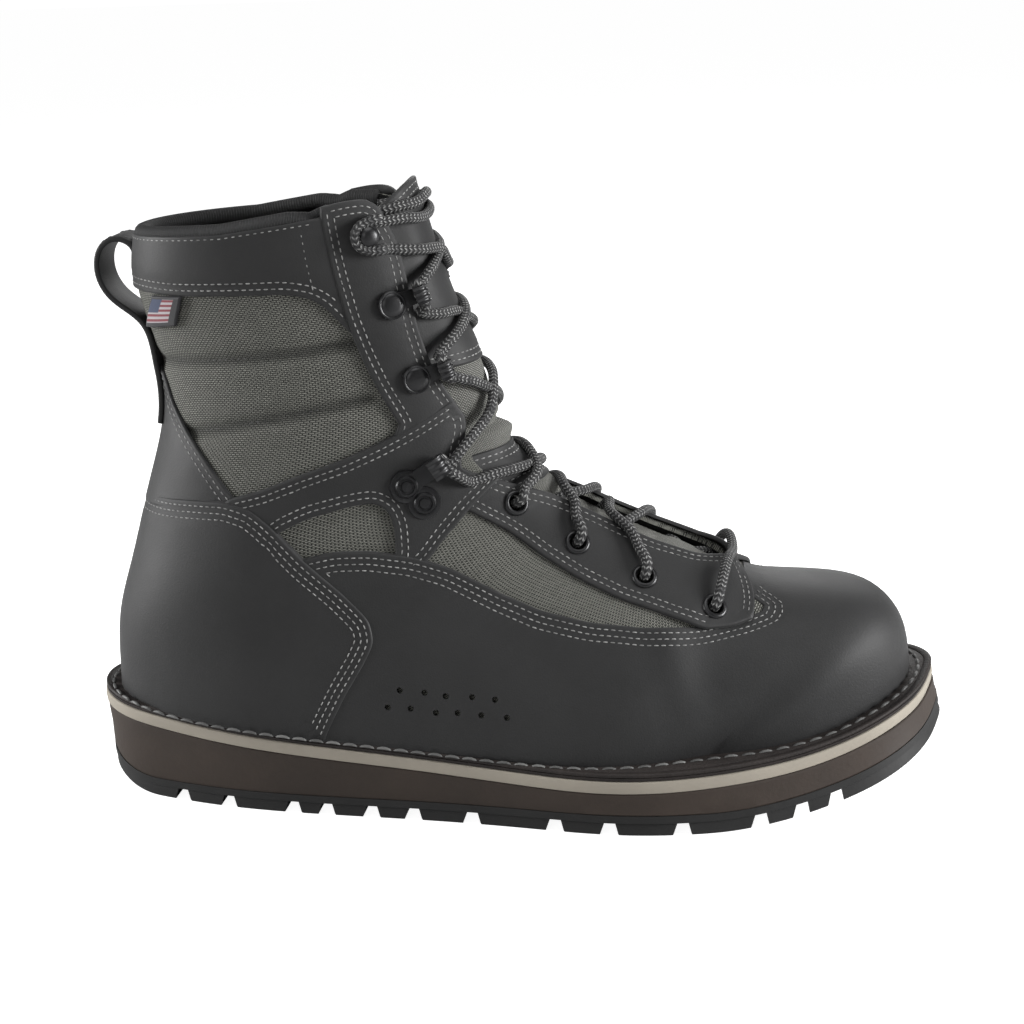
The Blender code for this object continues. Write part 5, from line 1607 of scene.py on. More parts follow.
def tongue_ring(top, end, wing):
    """Half outline of a stretch of the tongue, on the outer side of its middle."""
    width = wing / GIRTH

    def side(v):
        return 0.5 - float(opening(v)) - width * float(np.clip(0.2 + (v - TONGUE_TOP) * 25, 0.2, 1))

    low = top + TONGUE_DROP if top < 0.02 else top
    rows = np.linspace(low, end, max(3, int((end - low) * SPAN[0] / 2.0)))
    edge = [(v, side(v)) for v in rows]
    start = []
    for u in np.linspace(0.5, edge[0][1], 16)[:-1]:
        share = (0.5 - u) / (0.5 - edge[0][1])
        start.append((top + (low - top) * share ** 2.0, u))
    close = [(end, u) for u in np.linspace(edge[-1][1], 0.5, 12)][1:]
    middle = [(v, 0.5) for v in np.linspace(end, top, len(rows))][1:-1]
    return np.array(start + edge + close + middle)


class BOOT_OT_tongue(Operator):
    """Padded tongue: woven below with soft folds, leather above, and its lower tab"""

    bl_idname = "boot.tongue"
    bl_label = "Tongue"

    def execute(self, context):
        leather = leather_look()
        body = Sheet(tongue_ring(TONGUE_TOP + 0.004, TONGUE_END, 7.0), fine=2.2)
        cloth = cloth_look("tongue_mesh", (0.24, 0.24, 0.22), (0.022, 0.022, 0.02), 0.95)
        lining = cloth_look("tongue_lining", (0.020, 0.020, 0.020), (0.008, 0.008, 0.008), 1.0)
        pad = build_sheet("tongue_pad", body, -TONGUE_PAD, 0.0, cloth, relief=tongue_rise, roll=1.6,
                          backing=lining)
        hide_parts("tongue")
        rows = seam_rows(2)
        plan = (("tongue_leather", "tongue_seams", TONGUE_TOP, TONGUE_SEAM, 5.0),
                ("tongue_tab", "tongue_tab_seams", *TONGUE_TAB, 3.0))
        for name, seams, start, end, wing in plan:
            sheet = Sheet(tongue_ring(start, end, wing), rows)
            build_sheet(name, sheet, 0.05, TONGUE_HIDE, leather, relief=tongue_rise)
            add_seams(seams, sheet, rows, TONGUE_HIDE, "both", None, tongue_rise)
        return {"FINISHED"}


def swept(name, centres, frames, outline, look, uv=False):
    """Piece swept along a route: each frame is the two directions of its cross section."""
    points = []
    coords = []
    count = len(outline)
    reach = lengths(centres)
    for i, (centre, (first, second)) in enumerate(zip(centres, frames)):
        for k, (a, b) in enumerate(outline):
            points.append(centre + first * a + second * b)
            coords.append((k / count, reach[i]))
    return make_mesh(name, np.array(points), tube(len(centres), count), look,
                     uv=np.array(coords) if uv else None)


def carried_frames(points, first):
    """Directions across a route, turned as little as possible from one point to the next."""
    along = unit(np.gradient(points, axis=0))
    across = np.asarray(first, float)
    frames = []
    for way in along:
        across = across - way * float(across @ way)
        across = across / np.linalg.norm(across)
        frames.append((across, np.cross(way, across)))
    return frames


# Least distance that counts between two points of a route, so that none coincide
SHORTEST_STEP = 0.3


def smooth_route(points, step):
    """Points at about one step apart on a smooth curve through the given points."""
    points = np.array(points, float)
    reach = np.concatenate([[0], np.cumsum(np.maximum(np.diff(lengths(points)), SHORTEST_STEP))])
    at = np.linspace(0, reach[-1], max(2, int(round(reach[-1] / step)) + 1))
    return spline(reach, points, at)


def round_outline(radius, steps, flat=1.0):
    """Circle or ellipse as (first, second) pairs."""
    turns = np.arange(steps) * 2 * math.pi / steps
    return [(radius * math.cos(t), radius * flat * math.sin(t)) for t in turns]


def strap_outline(width, thick, edge):
    """Flat strap with rounded edges, as (across, out) pairs."""
    outline = []
    for sx, sy in ((1, -1), (1, 1), (-1, 1), (-1, -1)):
        for k in range(4):
            turn = math.radians(30 * k if sx * sy > 0 else 90 - 30 * k)
            outline.append((sx * (width / 2 - edge + edge * math.cos(turn)),
                            sy * (thick / 2 - edge + edge * math.sin(turn))))
    return outline


# The collar's roll: its radius, its height over the wall's edge behind and how much lower
# and further in it lies ahead of a place on X. The loop's strap and its seams
ROLL_RADIUS = 2.8
ROLL_RISE = 3.5
ROLL_DROP = 2.9
ROLL_IN = (0.5, 1.9)
ROLL_FRONT = (86.0, 14.0)
LOOP_STRAP = (20.0, 2.0, 0.7)
LOOP_SEAM = 7.8
LOOP_PITCH = 2.9
LOOP_STITCH = 2.2
LOOP_THREAD = 0.38


class BOOT_OT_collar(Operator):
    """Padded black roll round the collar, and the pull loop with its stitches"""

    bl_idname = "boot.collar"
    bl_label = "Collar and pull loop"

    def execute(self, context):
        rim = ((0.0, 2.955),) + COLLAR_LINE[:3] + ((.318, 3.065), (.350, 3.07))
        line = wall_line(rim, 2.0)
        places = [(v, 1 - u) for v, u in reversed(line[1:])] + line
        route = []
        for v, u in places:
            here = wall_point(v, u, np.array(-WALL / 2 + 0.2))
            up = last_point(v - 0.01, u) - last_point(v, u)
            front = float(np.clip((here[0] - ROLL_FRONT[0]) / ROLL_FRONT[1], 0, 1))
            inward = last_normal(v, u) * (ROLL_IN[0] + ROLL_IN[1] * front)
            route.append(here + unit(up) * (ROLL_RISE - ROLL_DROP * front) - inward)
        route = smooth_route(route, 2.0)
        frames = carried_frames(route, (0, 0, 1))
        look = cloth_look("collar_binding", (0.022, 0.022, 0.023), (0.008, 0.008, 0.008), 0.8)
        roll = swept("collar_padding", route, frames, round_outline(ROLL_RADIUS, 14, 0.95), look,
                     uv=True)
        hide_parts("collar_roll")
        self.pull_loop()
        return {"FINISHED"}

    def pull_loop(self):
        """Leather strap bent into a loop behind the collar."""
        start = last_point(0.012, 0.0)
        path = [(start[0] + dx, 0.0, start[2] + dz) for dx, dz in LOOP_PATH]
        for v in np.linspace(LOOP_TAIL[0], LOOP_TAIL[1], 7):
            place = wall_point(v, 0.0, np.array(0.1))
            path.append((place[0], 0.0, place[2]))
        route = smooth_route(path, 1.5)
        along = unit(np.gradient(route, axis=0))
        frames = [(np.array((0.0, 1.0, 0.0)), np.cross(way, (0.0, 1.0, 0.0))) for way in along]
        strap = swept("pull_loop_strap", route, frames, strap_outline(*LOOP_STRAP),
                      leather_look())
        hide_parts("pull_loop")
        stitches = []
        out = np.array([f[1] for f in frames])
        out = out * np.sign((out * (route - route.mean(axis=0))).sum(axis=1).mean())
        for side in (-LOOP_SEAM, LOOP_SEAM):
            points = route + np.array((0.0, side, 0.0)) + out
            stitches += stitches_along(points, out, LOOP_PITCH)
        thread_mesh("pull_loop_seams", stitches, LOOP_STITCH, LOOP_THREAD,
                    thread_look("dark_thread", DARK_THREAD))


class BOOT_OT_label(Operator):
    """Small woven label at the back of the outer side"""

    bl_idname = "boot.label"
    bl_label = "Side label"

    def execute(self, context):
        sheet = Sheet(half_outline(OUTLINES["label"], 0.3, 1.0), fine=1.4)
        top_back, top_front, low_front, low_back = (np.array(find(*c)) for c in LABEL_CORNERS)

        def from_line(v, u, start, end):
            way = unit((end - start) * SPAN)
            return np.abs((v - start[0]) * SPAN[0] * way[1] - (u - start[1]) * SPAN[1] * way[0])

        def along(v, u):
            back = from_line(v, u, top_back, low_back)
            return back / (back + from_line(v, u, top_front, low_front))

        def down(v, u):
            top = from_line(v, u, top_back, top_front)
            return top / (top + from_line(v, u, low_back, low_front))

        piece = build_sheet("striped_side_label", sheet, 1.0, LABEL, label_look(),
                            sides="lateral", roll=0.5,
                            shades={"along": along, "down": down})
        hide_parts("side_label")
        return {"FINISHED"}


# Steps of the sole's layers along and across
STATIONS = 150
ACROSS = 8


def stack(name, levels, look):
    """Layer of the sole from levels: each is an inset and a height, top to bottom."""
    points = []
    grids = []
    for inset, rise in levels:
        outer, inner = sole_loop(inset, STATIONS)
        grid = []
        for a, b in zip(outer, inner):
            row = []
            for k in range(ACROSS + 1):
                x, y = a + (b - a) * k / ACROSS
                row.append(len(points))
                points.append((x, y, float(rise(x))))
            grid.append(row)
        grids.append(grid)
    faces = []
    for grid in (grids[0], grids[-1]):
        faces += [(grid[i][k], grid[i + 1][k], grid[i + 1][k + 1], grid[i][k + 1])
                  for i in range(STATIONS) for k in range(ACROSS)]
    for upper, lower in zip(grids, grids[1:]):
        faces += [(upper[i][k], upper[i + 1][k], lower[i + 1][k], lower[i][k])
                  for i in range(STATIONS) for k in (0, ACROSS)]
    points, faces = welded(points, faces)
    return make_mesh(name, points, faces, look, sharp=38.0)


def welded(points, faces):
    """Points and faces with equal points joined and empty faces dropped."""
    order = {}
    unique = []
    index = []
    for point in points:
        key = tuple(np.round(point, 4))
        if key not in order:
            order[key] = len(unique)
            unique.append(point)
        index.append(order[key])
    made = []
    for face in faces:
        ring = []
        for i in face:
            if index[i] not in ring:
                ring.append(index[i])
        if len(ring) > 2:
            made.append(tuple(ring))
    return np.array(unique), made


def lean(rise, extra=0.0):
    """Inset of the sole's side at a height, with an extra amount."""
    return lambda x: side_lean(x, rise(x)) + extra


def mixed(top, bottom, share, drop=0.0):
    """Height between two heights, share 0 at the top."""
    return lambda x: top(x) + (bottom(x) - top(x)) * share - drop


def tread_cutter():
    """Side notches, cross grooves and their chamfers, as one cutting tool."""
    outer, inner = sole_loop(0.0, STATIONS)
    points = []
    faces = []

    def prism(low_ring, high_ring, low, high):
        base = len(points)
        n = len(low_ring)
        points.extend((x, y, low) for x, y in low_ring)
        points.extend((x, y, high(x)) for x, y in high_ring)
        faces.append(tuple(base + i for i in reversed(range(n))))
        faces.append(tuple(base + n + i for i in range(n)))
        faces.extend(band(base, base + n, n))

    def top(x):
        return float(floor_line(x)) + LUG_DEPTH - 0.2

    for share in NOTCHES:
        x = share * SOLE_LENGTH
        for side, sign in ((outer, -1), (inner, 1)):
            edge = float(np.interp(x, side[:, 0], side[:, 1]))
            reach = edge - sign * NOTCH_REACH
            far = edge + sign * CUT_BEYOND
            rings = []
            for half in (NOTCH_WIDTH * 1.1, NOTCH_WIDTH * 0.45):
                wide = half * NOTCH_FLARE
                rings.append([(x - half, reach), (x + half, reach), (x + wide, far),
                              (x - wide, far)][::-sign])
            prism(*rings, CUT_BELOW, top)
    for k, share in enumerate(NOTCHES[:-1]):
        x = (share + NOTCHES[k + 1]) / 2 * SOLE_LENGTH
        low = float(np.interp(x, outer[:, 0], outer[:, 1])) + NOTCH_REACH + GROOVE_END
        high = float(np.interp(x, inner[:, 0], inner[:, 1])) - NOTCH_REACH - GROOVE_END
        middle = (low + high) / 2
        skew = GROOVE_SKEW if k % 2 else -GROOVE_SKEW
        rings = []
        for half in (CENTRE_GROOVE * 0.75, CENTRE_GROOVE * 0.4):
            rings.append([(x - half - skew, low), (x + half - skew, low),
                          (x + half + skew, middle), (x + half - skew, high),
                          (x - half - skew, high), (x - half + skew, middle)])
        prism(*rings, CUT_BELOW, top)
    return make_mesh("tread_cutter", np.array(points), faces, bpy.data.materials.new("cut"))


class BOOT_OT_sole(Operator):
    """Lugged outsole, foam midsole and the pale slip layer"""

    bl_idname = "boot.sole"
    bl_label = "Sole"

    def execute(self, context):
        colours = context.scene.boot_colours
        rubber = tuple(colours.rubber)
        foam = tuple(colours.midsole)
        pale = tuple(colours.slip)
        rubber_look = grained("lug_rubber", rubber, scaled(rubber, 1.5), 0.62, 700.0, 60.0,
                              0.25, scuffs=0.15)
        foam_look = grained("wedge_foam", foam, scaled(foam, 1.35), 0.66, 520.0, 40.0, 0.4,
                            0.0002, scuffs=0.25)
        slip_look = grained("pale_slip", scaled(pale, 0.92), scaled(pale, 1.05), 0.7, 650.0,
                            45.0, 0.25, scuffs=0.12)

        def base(x):
            return floor_line(x) + OUTSOLE

        def lugs(x):
            return floor_line(x) + LUG_DEPTH

        def under_slip(x):
            return slip_top(x) - SLIP

        outsole = stack("lugged_outsole", (
            (lean(base), base), (lean(lugs, -0.1), lugs),
            (lean(lugs, 0.45), lambda x: lugs(x) - 0.35),
            (lean(floor_line, 0.1), lambda x: floor_line(x) + 0.7),
            (lean(floor_line, 0.7), floor_line)), rubber_look)
        cutter = tread_cutter()
        self.cut(outsole, cutter)
        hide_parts("outsole")
        midsole = stack("foam_midsole", (
            (lean(under_slip, 0.5), under_slip),
            (lean(under_slip, 0.1), mixed(under_slip, base, 0.0, 0.45)),
            (lean(under_slip, 0.0), mixed(under_slip, base, 0.12)),
            (lean(mixed(under_slip, base, 0.5), 0.25), mixed(under_slip, base, 0.5)),
            (lean(base, 0.0), mixed(under_slip, base, 0.93)),
            (lean(base, 0.35), base)), foam_look)
        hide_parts("midsole")
        slip = stack("slip_layer", (
            (0.35, slip_top), (-0.15, lambda x: slip_top(x) - 0.35),
            (-0.45, lambda x: slip_top(x) - SLIP / 2),
            (-0.2, lambda x: slip_top(x) - SLIP + 0.35),
            (0.3, under_slip)), slip_look)
        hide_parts("midsole_slip")
        return {"FINISHED"}

    def cut(self, piece, cutter):
        """Exact Boolean that is applied to the piece; the cutter is taken away."""
        step = piece.modifiers.new("cut", "BOOLEAN")
        step.operation = "DIFFERENCE"
        step.solver = "EXACT"
        step.use_self = True
        step.object = cutter
        bpy.context.view_layer.update()
        mesh = bpy.data.meshes.new_from_object(piece.evaluated_get(
            bpy.context.evaluated_depsgraph_get()))
        piece.modifiers.remove(step)
        look = piece.data.materials[0]
        piece.data = mesh
        mesh.materials.clear()
        mesh.materials.append(look)
        mesh.set_sharp_from_angle(angle=math.radians(32))
        bpy.data.objects.remove(cutter)


# Section of the welt as insets and heights, with its stitch groove, and the welt's seam: its
# distance from the upper's foot, height over the welt, pitch, stitch and thread radius
WELT_PROFILE = ((WELT_WIDTH, WELT), (3.1, WELT), (2.7, WELT - 0.35), (2.3, WELT), (0.7, WELT),
                (0.25, WELT - 0.18), (0.0, WELT - 0.6), (0.05, 1.55), (0.4, 1.35), (0.0, 1.15),
                (0.0, 0.35), (0.25, 0.05), (WELT_WIDTH, 0.05))
WELT_SEAM = 1.7
WELT_SEAM_RISE = 0.25
WELT_PITCH = 6.1
WELT_STITCH = 5.3
WELT_THREAD = 0.62


class BOOT_OT_welt(Operator):
    """Stitched welt and the insole inside"""

    bl_idname = "boot.welt"
    bl_label = "Welt and insole"

    def execute(self, context):
        colour = tuple(context.scene.boot_colours.welt)
        look = grained("welt_leather_edge", scaled(colour, 0.8), scaled(colour, 1.5), 0.6, 900.0,
                       90.0, 0.6, 0.0003, scuffs=0.5)
        loops = []
        for inset, lift in WELT_PROFILE:
            outer, inner = sole_loop(inset, 220)
            ring = np.concatenate([outer, inner[-2:0:-1]])
            loops.append([(x, y, float(slip_top(x)) + lift) for x, y in ring])
        points = np.array([p for loop in loops for p in loop])
        faces = tube(len(loops), len(loops[0]), True)
        welt = make_mesh("welt_strip", points, faces, look)
        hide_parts("welt")
        line = feather_loop(VAMP + WELT_SEAM, 900)
        points = np.array([(x, y, float(slip_top(x)) + WELT + WELT_SEAM_RISE) for x, y in line])
        normals = np.tile((0.0, 0.0, 1.0), (len(points), 1))
        stitches = stitches_along(points, normals, WELT_PITCH, True)
        thread_mesh("welt_seam", stitches, WELT_STITCH, WELT_THREAD,
                    thread_look("welt_thread", 0.42))
        self.insole()
        return {"FINISHED"}

    def insole(self):
        """Dark footbed inside the boot."""
        node_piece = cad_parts["insole"]
        node_piece.data.materials.clear()
        node_piece.data.materials.append(grained("footbed_felt", (0.014, 0.014, 0.015),
                                                 (0.03, 0.03, 0.031), 0.85, 600.0, 50.0))


def lacing_frame(place, side, out):
    """Origin, outward, forward and upward directions on the wall at a lacing point."""
    v, u = place
    sign = -1.0 if side == "medial" else 1.0
    if side == "medial":
        u = 1 - u
    origin = wall_point(v, u, np.array(float(out) + float(flap_lift(v, u))))
    normal = last_normal(v, u)
    ahead = last_point(v, u + 0.004 * sign) - last_point(v, u)
    ahead = unit(ahead - normal * float(ahead @ normal))
    rise = np.cross(normal, ahead)
    if rise[2] < 0 and abs(rise[2]) > 0.2:
        rise = -rise
    elif abs(rise[2]) <= 0.2 and rise[0] > 0:
        rise = -rise
    return origin, normal, ahead, rise


TURN_STEPS = 28


def turned(lathe_frame, profile):
    """Piece turned about the outward direction from (radius, height) points."""
    origin, normal, ahead, rise = lathe_frame
    points = []
    for k in range(TURN_STEPS):
        turn = 2 * math.pi * k / TURN_STEPS
        spoke = ahead * math.cos(turn) + rise * math.sin(turn)
        points += [origin + spoke * r + normal * h for r, h in profile]
    return welded(points, tube(TURN_STEPS, len(profile), True))


# Hooks: plate thickness and its pleats, side lines of the curls as (forward, outward), plate
# widths by share of the line, tilts, and turned heads as (radius, height)
HOOK_THICK = 1.1
PLEATS = 3
HOOK_PATH = ((-4.2, .75), (-2, .8), (3, .8), (6.6, .9), (9.3, 1.2), (11.4, 2.3), (12.3, 4.1),
             (11.7, 5.9), (9.9, 6.7), (7.3, 6.4))
STUD_PATH = ((-4.0, .6), (-1.5, .65), (1.5, .65), (4.4, .6))
JAW_PATH = ((3.0, .6), (7.6, .8), (11.8, 1.2), (14.6, 2.4), (15.6, 4.3), (14.9, 6.2),
            (13.0, 7.1), (9.6, 6.6))
HOOK_WIDTHS = ((0.0, 6.6), (.2, 8.2), (.4, 5.6), (.55, 5.2), (.8, 5.8), (1.0, 6.0))
JAW_WIDTHS = ((0.0, 6.0), (.4, 6.6), (.7, 7.0), (1.0, 7.2))
HOOK_TILT = math.radians(13)
JAW_TILT = math.radians(20)
RIVET = ((0.0, 0.9), (4.7, 0.9), (4.95, 1.2), (4.85, 1.6), (4.4, 1.9), (4.1, 1.8), (3.9, 2.0),
         (3.5, 2.35), (2.2, 2.6), (0.0, 2.65))
STUD = ((0.0, 0.4), (3.6, 0.4), (3.7, 1.2), (2.4, 1.5), (2.4, 4.2), (3.1, 4.3), (3.3, 4.8),
        (2.9, 5.4), (1.6, 5.9), (0.0, 6.0))
JAW_BASE = ((0.0, 0.0), (5.7, 0.0), (5.9, 0.35), (5.7, 1.0), (4.6, 1.15), (4.1, 1.1), (3.9, 1.6),
            (3.5, 2.1), (2.8, 2.1), (2.5, 1.7), (2.1, 1.7), (1.8, 2.15), (0.0, 2.2))
LOCK_RIVETS = ((-2.6, 1.3), (2.1, -5.9))


def tilted(seat, angle):
    """Seat whose forward direction is turned towards the top of the boot."""
    origin, normal, ahead, rise = seat
    return (origin, normal, ahead * math.cos(angle) + rise * math.sin(angle),
            rise * math.cos(angle) - ahead * math.sin(angle))


def pleated_outline(thick, pleats):
    """Strip one unit wide with pleats on its outer face, as (across, out) pairs."""
    steps = 26
    outline = [(-0.5 + k / steps, thick / 2 + 0.16 * math.cos(2 * math.pi * pleats * k / steps))
               for k in range(steps + 1)]
    return outline + [(0.5, -thick / 2), (-0.5, -thick / 2)]


def hook_parts(seat, path, widths, heads):
    """Points and faces of a speed hook: its curled plate and its rivet heads."""
    origin, normal, ahead, rise = seat
    route = smooth_route([(a, b, 0.0) for a, b in path], 0.7)
    along = unit(np.gradient(route, axis=0))
    points = []
    outline = pleated_outline(HOOK_THICK, PLEATS)
    count = len(outline)
    shares, spans = zip(*widths)
    for i, here in enumerate(route):
        wide = np.interp(i / (len(route) - 1), shares, spans)
        out = (along[i][1], -along[i][0])
        for a, b in outline:
            x, y = here[0] + out[0] * b, here[1] + out[1] * b
            points.append(origin + ahead * x + normal * y + rise * a * wide)
    faces = tube(len(route), count)
    for (forward, up), profile in heads:
        centre = origin + ahead * forward + rise * up
        more, rings = turned((centre, normal, ahead, rise), profile)
        faces += [tuple(i + len(points) for i in face) for face in rings]
        points += list(more)
    return points, faces


class BOOT_OT_hardware(Operator):
    """Eyelets, speed hooks and two-rivet lock hooks on both sides"""

    bl_idname = "boot.hardware"
    bl_label = "Hooks and eyelets"

    def execute(self, context):
        look = metal_look()
        radius = context.scene.boot_sizes.eyelet / MM
        hole = radius * 0.60
        ring = ((hole, -2.2), (hole + 0.5, -2.2), (hole + 0.5, -0.05), (radius, -0.05),
                (radius, 0.25), (radius - 0.45, 0.75), (radius - 1.0, 0.95),
                (hole + 0.35, 0.8), (hole, 0.3))
        for side in ("lateral", "medial"):
            for k, place in enumerate(EYELETS):
                seat = lacing_frame(find(*place), side, EYESTAY_LOWER)
                points, faces = turned(seat, ring)
                piece = make_mesh("eyelet_ring_%s_%d" % (side, k + 1), points, faces, look)
                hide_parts("eyelet_%s_%d" % (side, k + 1))
            for k, place in enumerate(HOOKS):
                seat = tilted(lacing_frame(find(*place), side, EYESTAY_UPPER), HOOK_TILT)
                head, way = (STUD, STUD_PATH) if k == 0 else (RIVET, HOOK_PATH)
                points, faces = hook_parts(seat, way, HOOK_WIDTHS, (((0.0, 0.0), head),))
                piece = make_mesh("speed_hook_%s_%d" % (side, k + 1), points, faces, look,
                                  sharp=40.0)
                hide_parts("hook_%s_%d" % (side, k + 1))
            seat = lacing_frame(find(*LOCK_HOOK), side, STRAP)
            origin, normal, ahead, rise = seat
            first, second = (origin + ahead * a + rise * b for a, b in LOCK_RIVETS)
            jaw = tilted((first, normal, ahead, rise), JAW_TILT)
            points, faces = hook_parts(jaw, JAW_PATH, JAW_WIDTHS, (((0.0, 0.0), JAW_BASE),))
            more, rings = turned((second, normal, ahead, rise), JAW_BASE)
            faces += [tuple(i + len(points) for i in face) for face in rings]
            points += list(more)
            piece = make_mesh("lock_hook_plate_" + side, points, faces, look,
                              sharp=40.0)
            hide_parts("lock_hook_" + side)
        return {"FINISHED"}


# Where the lace lies in a hook's curl and in a lock hook's jaw: forward and outward
CURL_SEAT = (9.5, 3.8)
JAW_SEAT = (13.0, 4.1)

# The lace's way between lacing points: row, share of the throat's half width (-1 is the
# edge of the side it comes from), and height over the wall. Crossings over the tongue
# run from an eyelet to the next one of the other side, and dive under its flap there.
EYELET_CROSSINGS = (
    (((.622, -1.46, 4.4), (.598, -1.22, 4.6), (.566, -1.04, 4.2), (.53, -.85, 3.2),
      (.505, -.4, 1.6), (.500, .35, .6), (.508, 1.0, -3.4)),
     ((.640, -1.46, 4.6), (.626, -1.12, 4.2), (.606, -.85, 2.4), (.585, -.3, .6), (.560, .3, -.4),
      (.540, 1.0, -4.4))),
    (((.470, -1.46, 4.4), (.448, -1.12, 4.2), (.425, -.86, 3.4), (.400, -.55, 2.4), (.385, -.1, 1.4),
      (.378, .5, -.2), (.378, 1.0, -3.4)),
     ((.500, -1.46, 4.4), (.484, -1.12, 4.2), (.462, -.80, 2.4), (.440, -.3, .6), (.415, .3, -.4),
      (.400, 1.0, -4.4))),
)
KNOT_WAY = ((.735, -.9, -4.4), (.705, .0, -3.6), (.675, .9, -4.6))


def lace_spot(v, share, lift, mirror=1.0):
    """Point over the throat, on the tongue's own shape near its middle."""
    share = share * mirror
    u = 0.5 + share * float(opening(v))
    base = float(tongue_rise(np.array([v]), np.array([0.5]))[0]) + 1.2
    base = max(base, -2.4) * max(0.0, 1 - abs(share)) + float(flap_lift(v, u))
    return wall_point(v, u, np.array(base + lift - 0.5))


def hook_points(place, side, out, forward, outward, tilt):
    """Lace points through a hook's curl, from below to above."""
    origin, normal, ahead, rise = tilted(lacing_frame(place, side, out), tilt)
    seat = origin + ahead * forward + normal * outward
    return [seat - rise * 4.6 + ahead * 2.0 - normal * 0.5, seat - rise * 1.8,
            seat + rise * 1.8, seat + rise * 4.8 + ahead * 1.0 - normal * 0.3]


def stud_points(place, side, out):
    """Lace points round a top hook's stud, from below, round its back and over it."""
    origin, normal, ahead, rise = lacing_frame(place, side, out)
    origin = origin + normal * 2.9
    return [origin + ahead * a + rise * b for a, b in
            ((5.5, -5.2), (0.5, -4.9), (-3.8, -3.0), (-5.0, 0.2), (-3.4, 3.4), (0.8, 4.9),
             (5.5, 5.6))]


def eyelet_points(place, side, over):
    """Lace points from over an eyelet, down through it and back to the throat."""
    origin, normal, ahead, rise = lacing_frame(place, side, EYESTAY_LOWER)
    return [origin + normal * 3.0 + ahead * over + rise * 1.0, origin + normal * 1.0,
            origin - normal * 2.2, origin - normal * 5.2 + ahead * 2.5]


def lace_end(first):
    """One end of the lace: first is -1 when it starts at the outer side."""
    sides = {-1.0: "lateral", 1.0: "medial"}
    own = first
    route = [lace_spot(.757, 0.0, 5.2), lace_spot(.752, own * 1.6, 5.0)]
    route += eyelet_points(find(*EYELETS[3]), sides[own], 3.6)
    ways = KNOT_WAY
    for k in (2, 1, 0):
        own = -own
        route += [lace_spot(v, share, lift, own) for v, share, lift in ways]
        route += eyelet_points(find(*EYELETS[k]), sides[own], 3.4)[::-1]
        ways = EYELET_CROSSINGS[2 - k][0 if own < 0 else 1] if k else ()
    for stage in range(4):
        own = -own
        ways = HOOK_CROSSINGS[stage][1 if own < 0 else 0]
        route += [lace_spot(v, share, lift, own) for v, share, lift in ways]
        if stage == 0:
            route += hook_points(find(*LOCK_HOOK), sides[own], STRAP, *JAW_SEAT, JAW_TILT)
        elif stage < 3:
            route += hook_points(find(*HOOKS[3 - stage]), sides[own], EYESTAY_UPPER, *CURL_SEAT,
                                 HOOK_TILT)
        else:
            route += stud_points(find(*HOOKS[0]), sides[own], EYESTAY_UPPER)
    tail = TAIL_OUTER if own < 0 else TAIL_INNER
    route += [lace_spot(v, share, lift, -own) for v, share, lift in tail]
    return route


# Crossings up to the lock hook and the three hooks: the first of a pair comes from the
# outer side, the second one comes from the inner side
HOOK_CROSSINGS = (
    (((.37, -1.22, 4.2), (.358, -.86, 4.0), (.348, -.54, 3.6), (.33, -.26, 3.0), (.305, .05, 2.4),
      (.300, .5, 2.2), (.308, 1.0, 3.0), (.308, 1.3, 3.6)),
     ((.365, -1.15, 3.8), (.350, -.7, 2.8), (.338, -.1, 1.6), (.328, .50, 2.0), (.321, .80, 2.2),
      (.316, 1.04, 2.8), (.313, 1.28, 3.4))),
    (((.276, -1.40, 4.6), (.258, -1.14, 4.6), (.24, -.90, 4.0), (.222, -.60, 3.4), (.204, -.30, 2.8),
      (.190, .0, 2.0), (.184, .4, 1.8), (.182, .72, 2.6), (.178, .94, 3.6)),
     ((.276, -1.40, 4.6), (.250, -1.0, 3.6), (.225, -.5, 2.2), (.206, .05, 1.4), (.197, .42, 1.8),
      (.190, .56, 2.2), (.183, .76, 2.8), (.177, .92, 3.6))),
    (((.158, -.94, 4.8), (.147, -.76, 4.2), (.139, -.56, 3.6), (.129, -.30, 3.0), (.119, -.02, 2.2),
      (.115, .35, 1.6), (.114, .70, 2.4), (.108, .96, 3.6)),
     ((.158, -.94, 4.8), (.146, -.5, 2.4), (.130, -.02, 1.4), (.119, .32, 1.4), (.118, .52, 2.0),
      (.117, .74, 2.8), (.110, .96, 3.6))),
    (((.088, -.94, 4.8), (.081, -.80, 4.2), (.073, -.60, 3.2), (.064, -.34, 2.4), (.057, .0, 1.6),
      (.053, .5, 1.8), (.047, 1.0, 2.6), (.045, 1.22, 2.6)),
     ((.088, -.94, 4.8), (.082, -.6, 3.0), (.076, -.2, 2.2), (.068, .08, 2.6), (.060, .22, 3.4),
      (.056, .5, 3.4), (.051, .95, 3.0), (.047, 1.2, 2.8))),
)
# Ends of the lace behind the eyestays, after the outer side's stud and the inner side's
TAIL_OUTER = ((.022, -1.20, 2.4), (.023, -.88, 2.4), (.027, -.46, 2.4), (.025, -.1, 2.0),
              (.020, .3, 1.4), (.016, .8, -1.6), (.016, 1.15, -6.5))
TAIL_INNER = ((.018, -1.20, 2.4), (.014, -.70, 2.2), (.009, -.2, 2.4), (.009, .12, 2.6),
              (.013, .36, 2.0), (.013, .64, .6), (.014, .88, -1.8), (.016, 1.15, -7.0))


